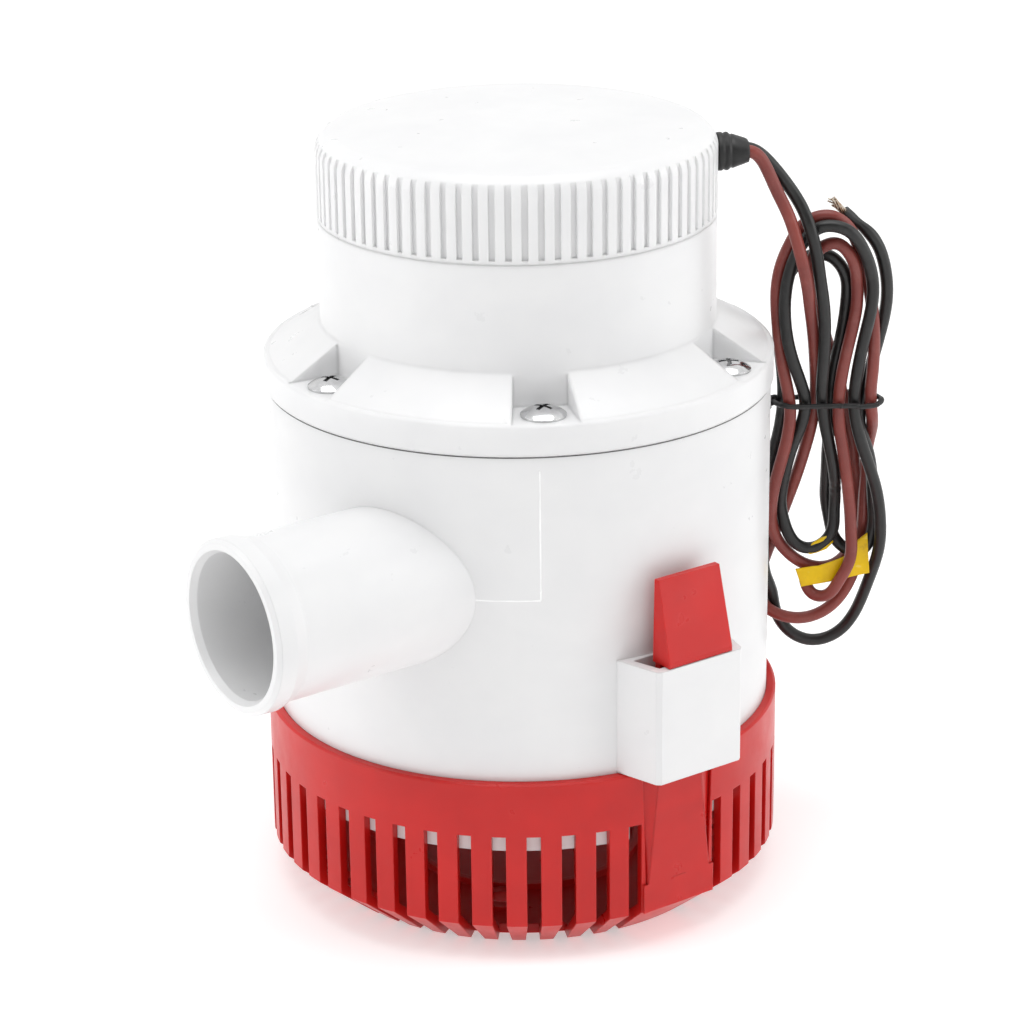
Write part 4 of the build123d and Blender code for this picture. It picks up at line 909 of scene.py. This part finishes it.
# ---------------------------------------------------------------- world
def studio_world():
    """White all round, dimmer as light than as seen. Reflections also get a dark band on the
    camera's side, a little above the horizon."""
    scene = bpy.context.scene
    scene.world = scene.world or bpy.data.worlds.new("studio")
    scene.world.use_nodes = True
    g = Graph(scene.world.node_tree)
    output = g.node("OutputWorld")
    lighting = g.node("Background", {0: (1, 1, 1), 1: 0.52})
    rays = g.node("LightPath").outputs
    seen_rays = g.math("MAXIMUM", rays["Is Camera Ray"], rays["Is Glossy Ray"])
    coords = g.node("TexCoord").outputs["Generated"]
    axes = g.node("SeparateXYZ", {0: coords}).outputs
    # how far the ray points towards the camera's side, level direction (-0.585, -0.811)
    facing = g.math("ADD", g.math("MULTIPLY_ADD", axes["X"], -0.585, 0.0),
                    g.math("MULTIPLY_ADD", axes["Y"], -0.811, 0.0))

    def fade_in(value, low, high):
        return g.remap(value, over=(low, high), interpolation_type="SMOOTHSTEP")

    band = g.math("MULTIPLY", fade_in(axes["Z"], low=0.36, high=0.46),
                  g.math("SUBTRACT", 1.0, fade_in(axes["Z"], low=0.70, high=0.84)), clamp=True)
    band = g.math("MULTIPLY", band, fade_in(facing, low=0.15, high=0.45), clamp=True)
    band = g.math("MULTIPLY", band, rays["Is Glossy Ray"], clamp=True)
    darkening = g.math("MULTIPLY", band, 0.93, clamp=True)
    seen = g.node("Background", {0: (1, 1, 1), 1: g.math("SUBTRACT", 1.0, darkening)})
    mixed = g.node("MixShader", {0: seen_rays, 1: lighting.outputs[0], 2: seen.outputs[0]})
    g.put(output.inputs[0], mixed.outputs[0])


studio_world()

# ---------------------------------------------------------------- lights
STAGE_TURN = math.radians(35.83)
LIGHT_TARGET = Vector((0, 0, 0.09))


def turned(x, y, z):
    """From the camera's own frame (x right, y away) to the pump's frame."""
    c, s = math.cos(STAGE_TURN), math.sin(STAGE_TURN)
    return Vector((x * c + y * s, -x * s + y * c, z))


def area_light(name, location, size, power):
    data = bpy.data.lights.new(name, "AREA")
    data.energy = power
    data.shape = "RECTANGLE"
    data.size, data.size_y = size
    lamp = bpy.data.objects.new(name, data)
    bpy.context.scene.collection.objects.link(lamp)
    lamp.location = location
    lamp.rotation_euler = (LIGHT_TARGET - location).to_track_quat("-Z", "Y").to_euler()


area_light("soft_left", turned(-1.30, -0.30, 0.62), size=(0.9, 1.2), power=6.2)
area_light("soft_right", turned(1.30, -0.22, 0.60), size=(0.9, 1.2), power=5.4)
area_light("soft_top", turned(0.0, -0.15, 1.5), size=(1.3, 1.1), power=11.4)

# ---------------------------------------------------------------- camera
CAMERA_YAW, CAMERA_PITCH, CAMERA_ROLL = -0.0032, 0.3600, -0.0124     # pitch is downwards
CAMERA_REACH = 0.75419
CAMERA_PLACE = (-0.5850 * CAMERA_REACH, -0.8111 * CAMERA_REACH, 0.37324)


def add_camera():
    yaw, pitch = CAMERA_YAW, CAMERA_PITCH
    forward = Vector((math.sin(yaw) * math.cos(pitch), math.cos(yaw) * math.cos(pitch),
                      -math.sin(pitch)))
    level = Vector((math.cos(yaw), -math.sin(yaw), 0))
    upright = level.cross(forward)
    c, s = math.cos(CAMERA_ROLL), math.sin(CAMERA_ROLL)
    right = turned(*(level * c + upright * s))
    up = turned(*(-level * s + upright * c))
    back = -turned(*forward)
    data = bpy.data.cameras.new("camera")
    data.sensor_width = 36.0
    data.lens = 117.55
    data.clip_start, data.clip_end = 0.01, 20.0
    camera = bpy.data.objects.new("camera", data)
    bpy.context.scene.collection.objects.link(camera)
    rows = [(right[i], up[i], back[i], CAMERA_PLACE[i]) for i in range(3)]
    camera.matrix_world = Matrix((*rows, (0, 0, 0, 1)))
    bpy.context.scene.camera = camera


add_camera()
bpy.context.scene.view_settings.view_transform = "Standard"
bpy.context.scene.view_settings.look = "None"
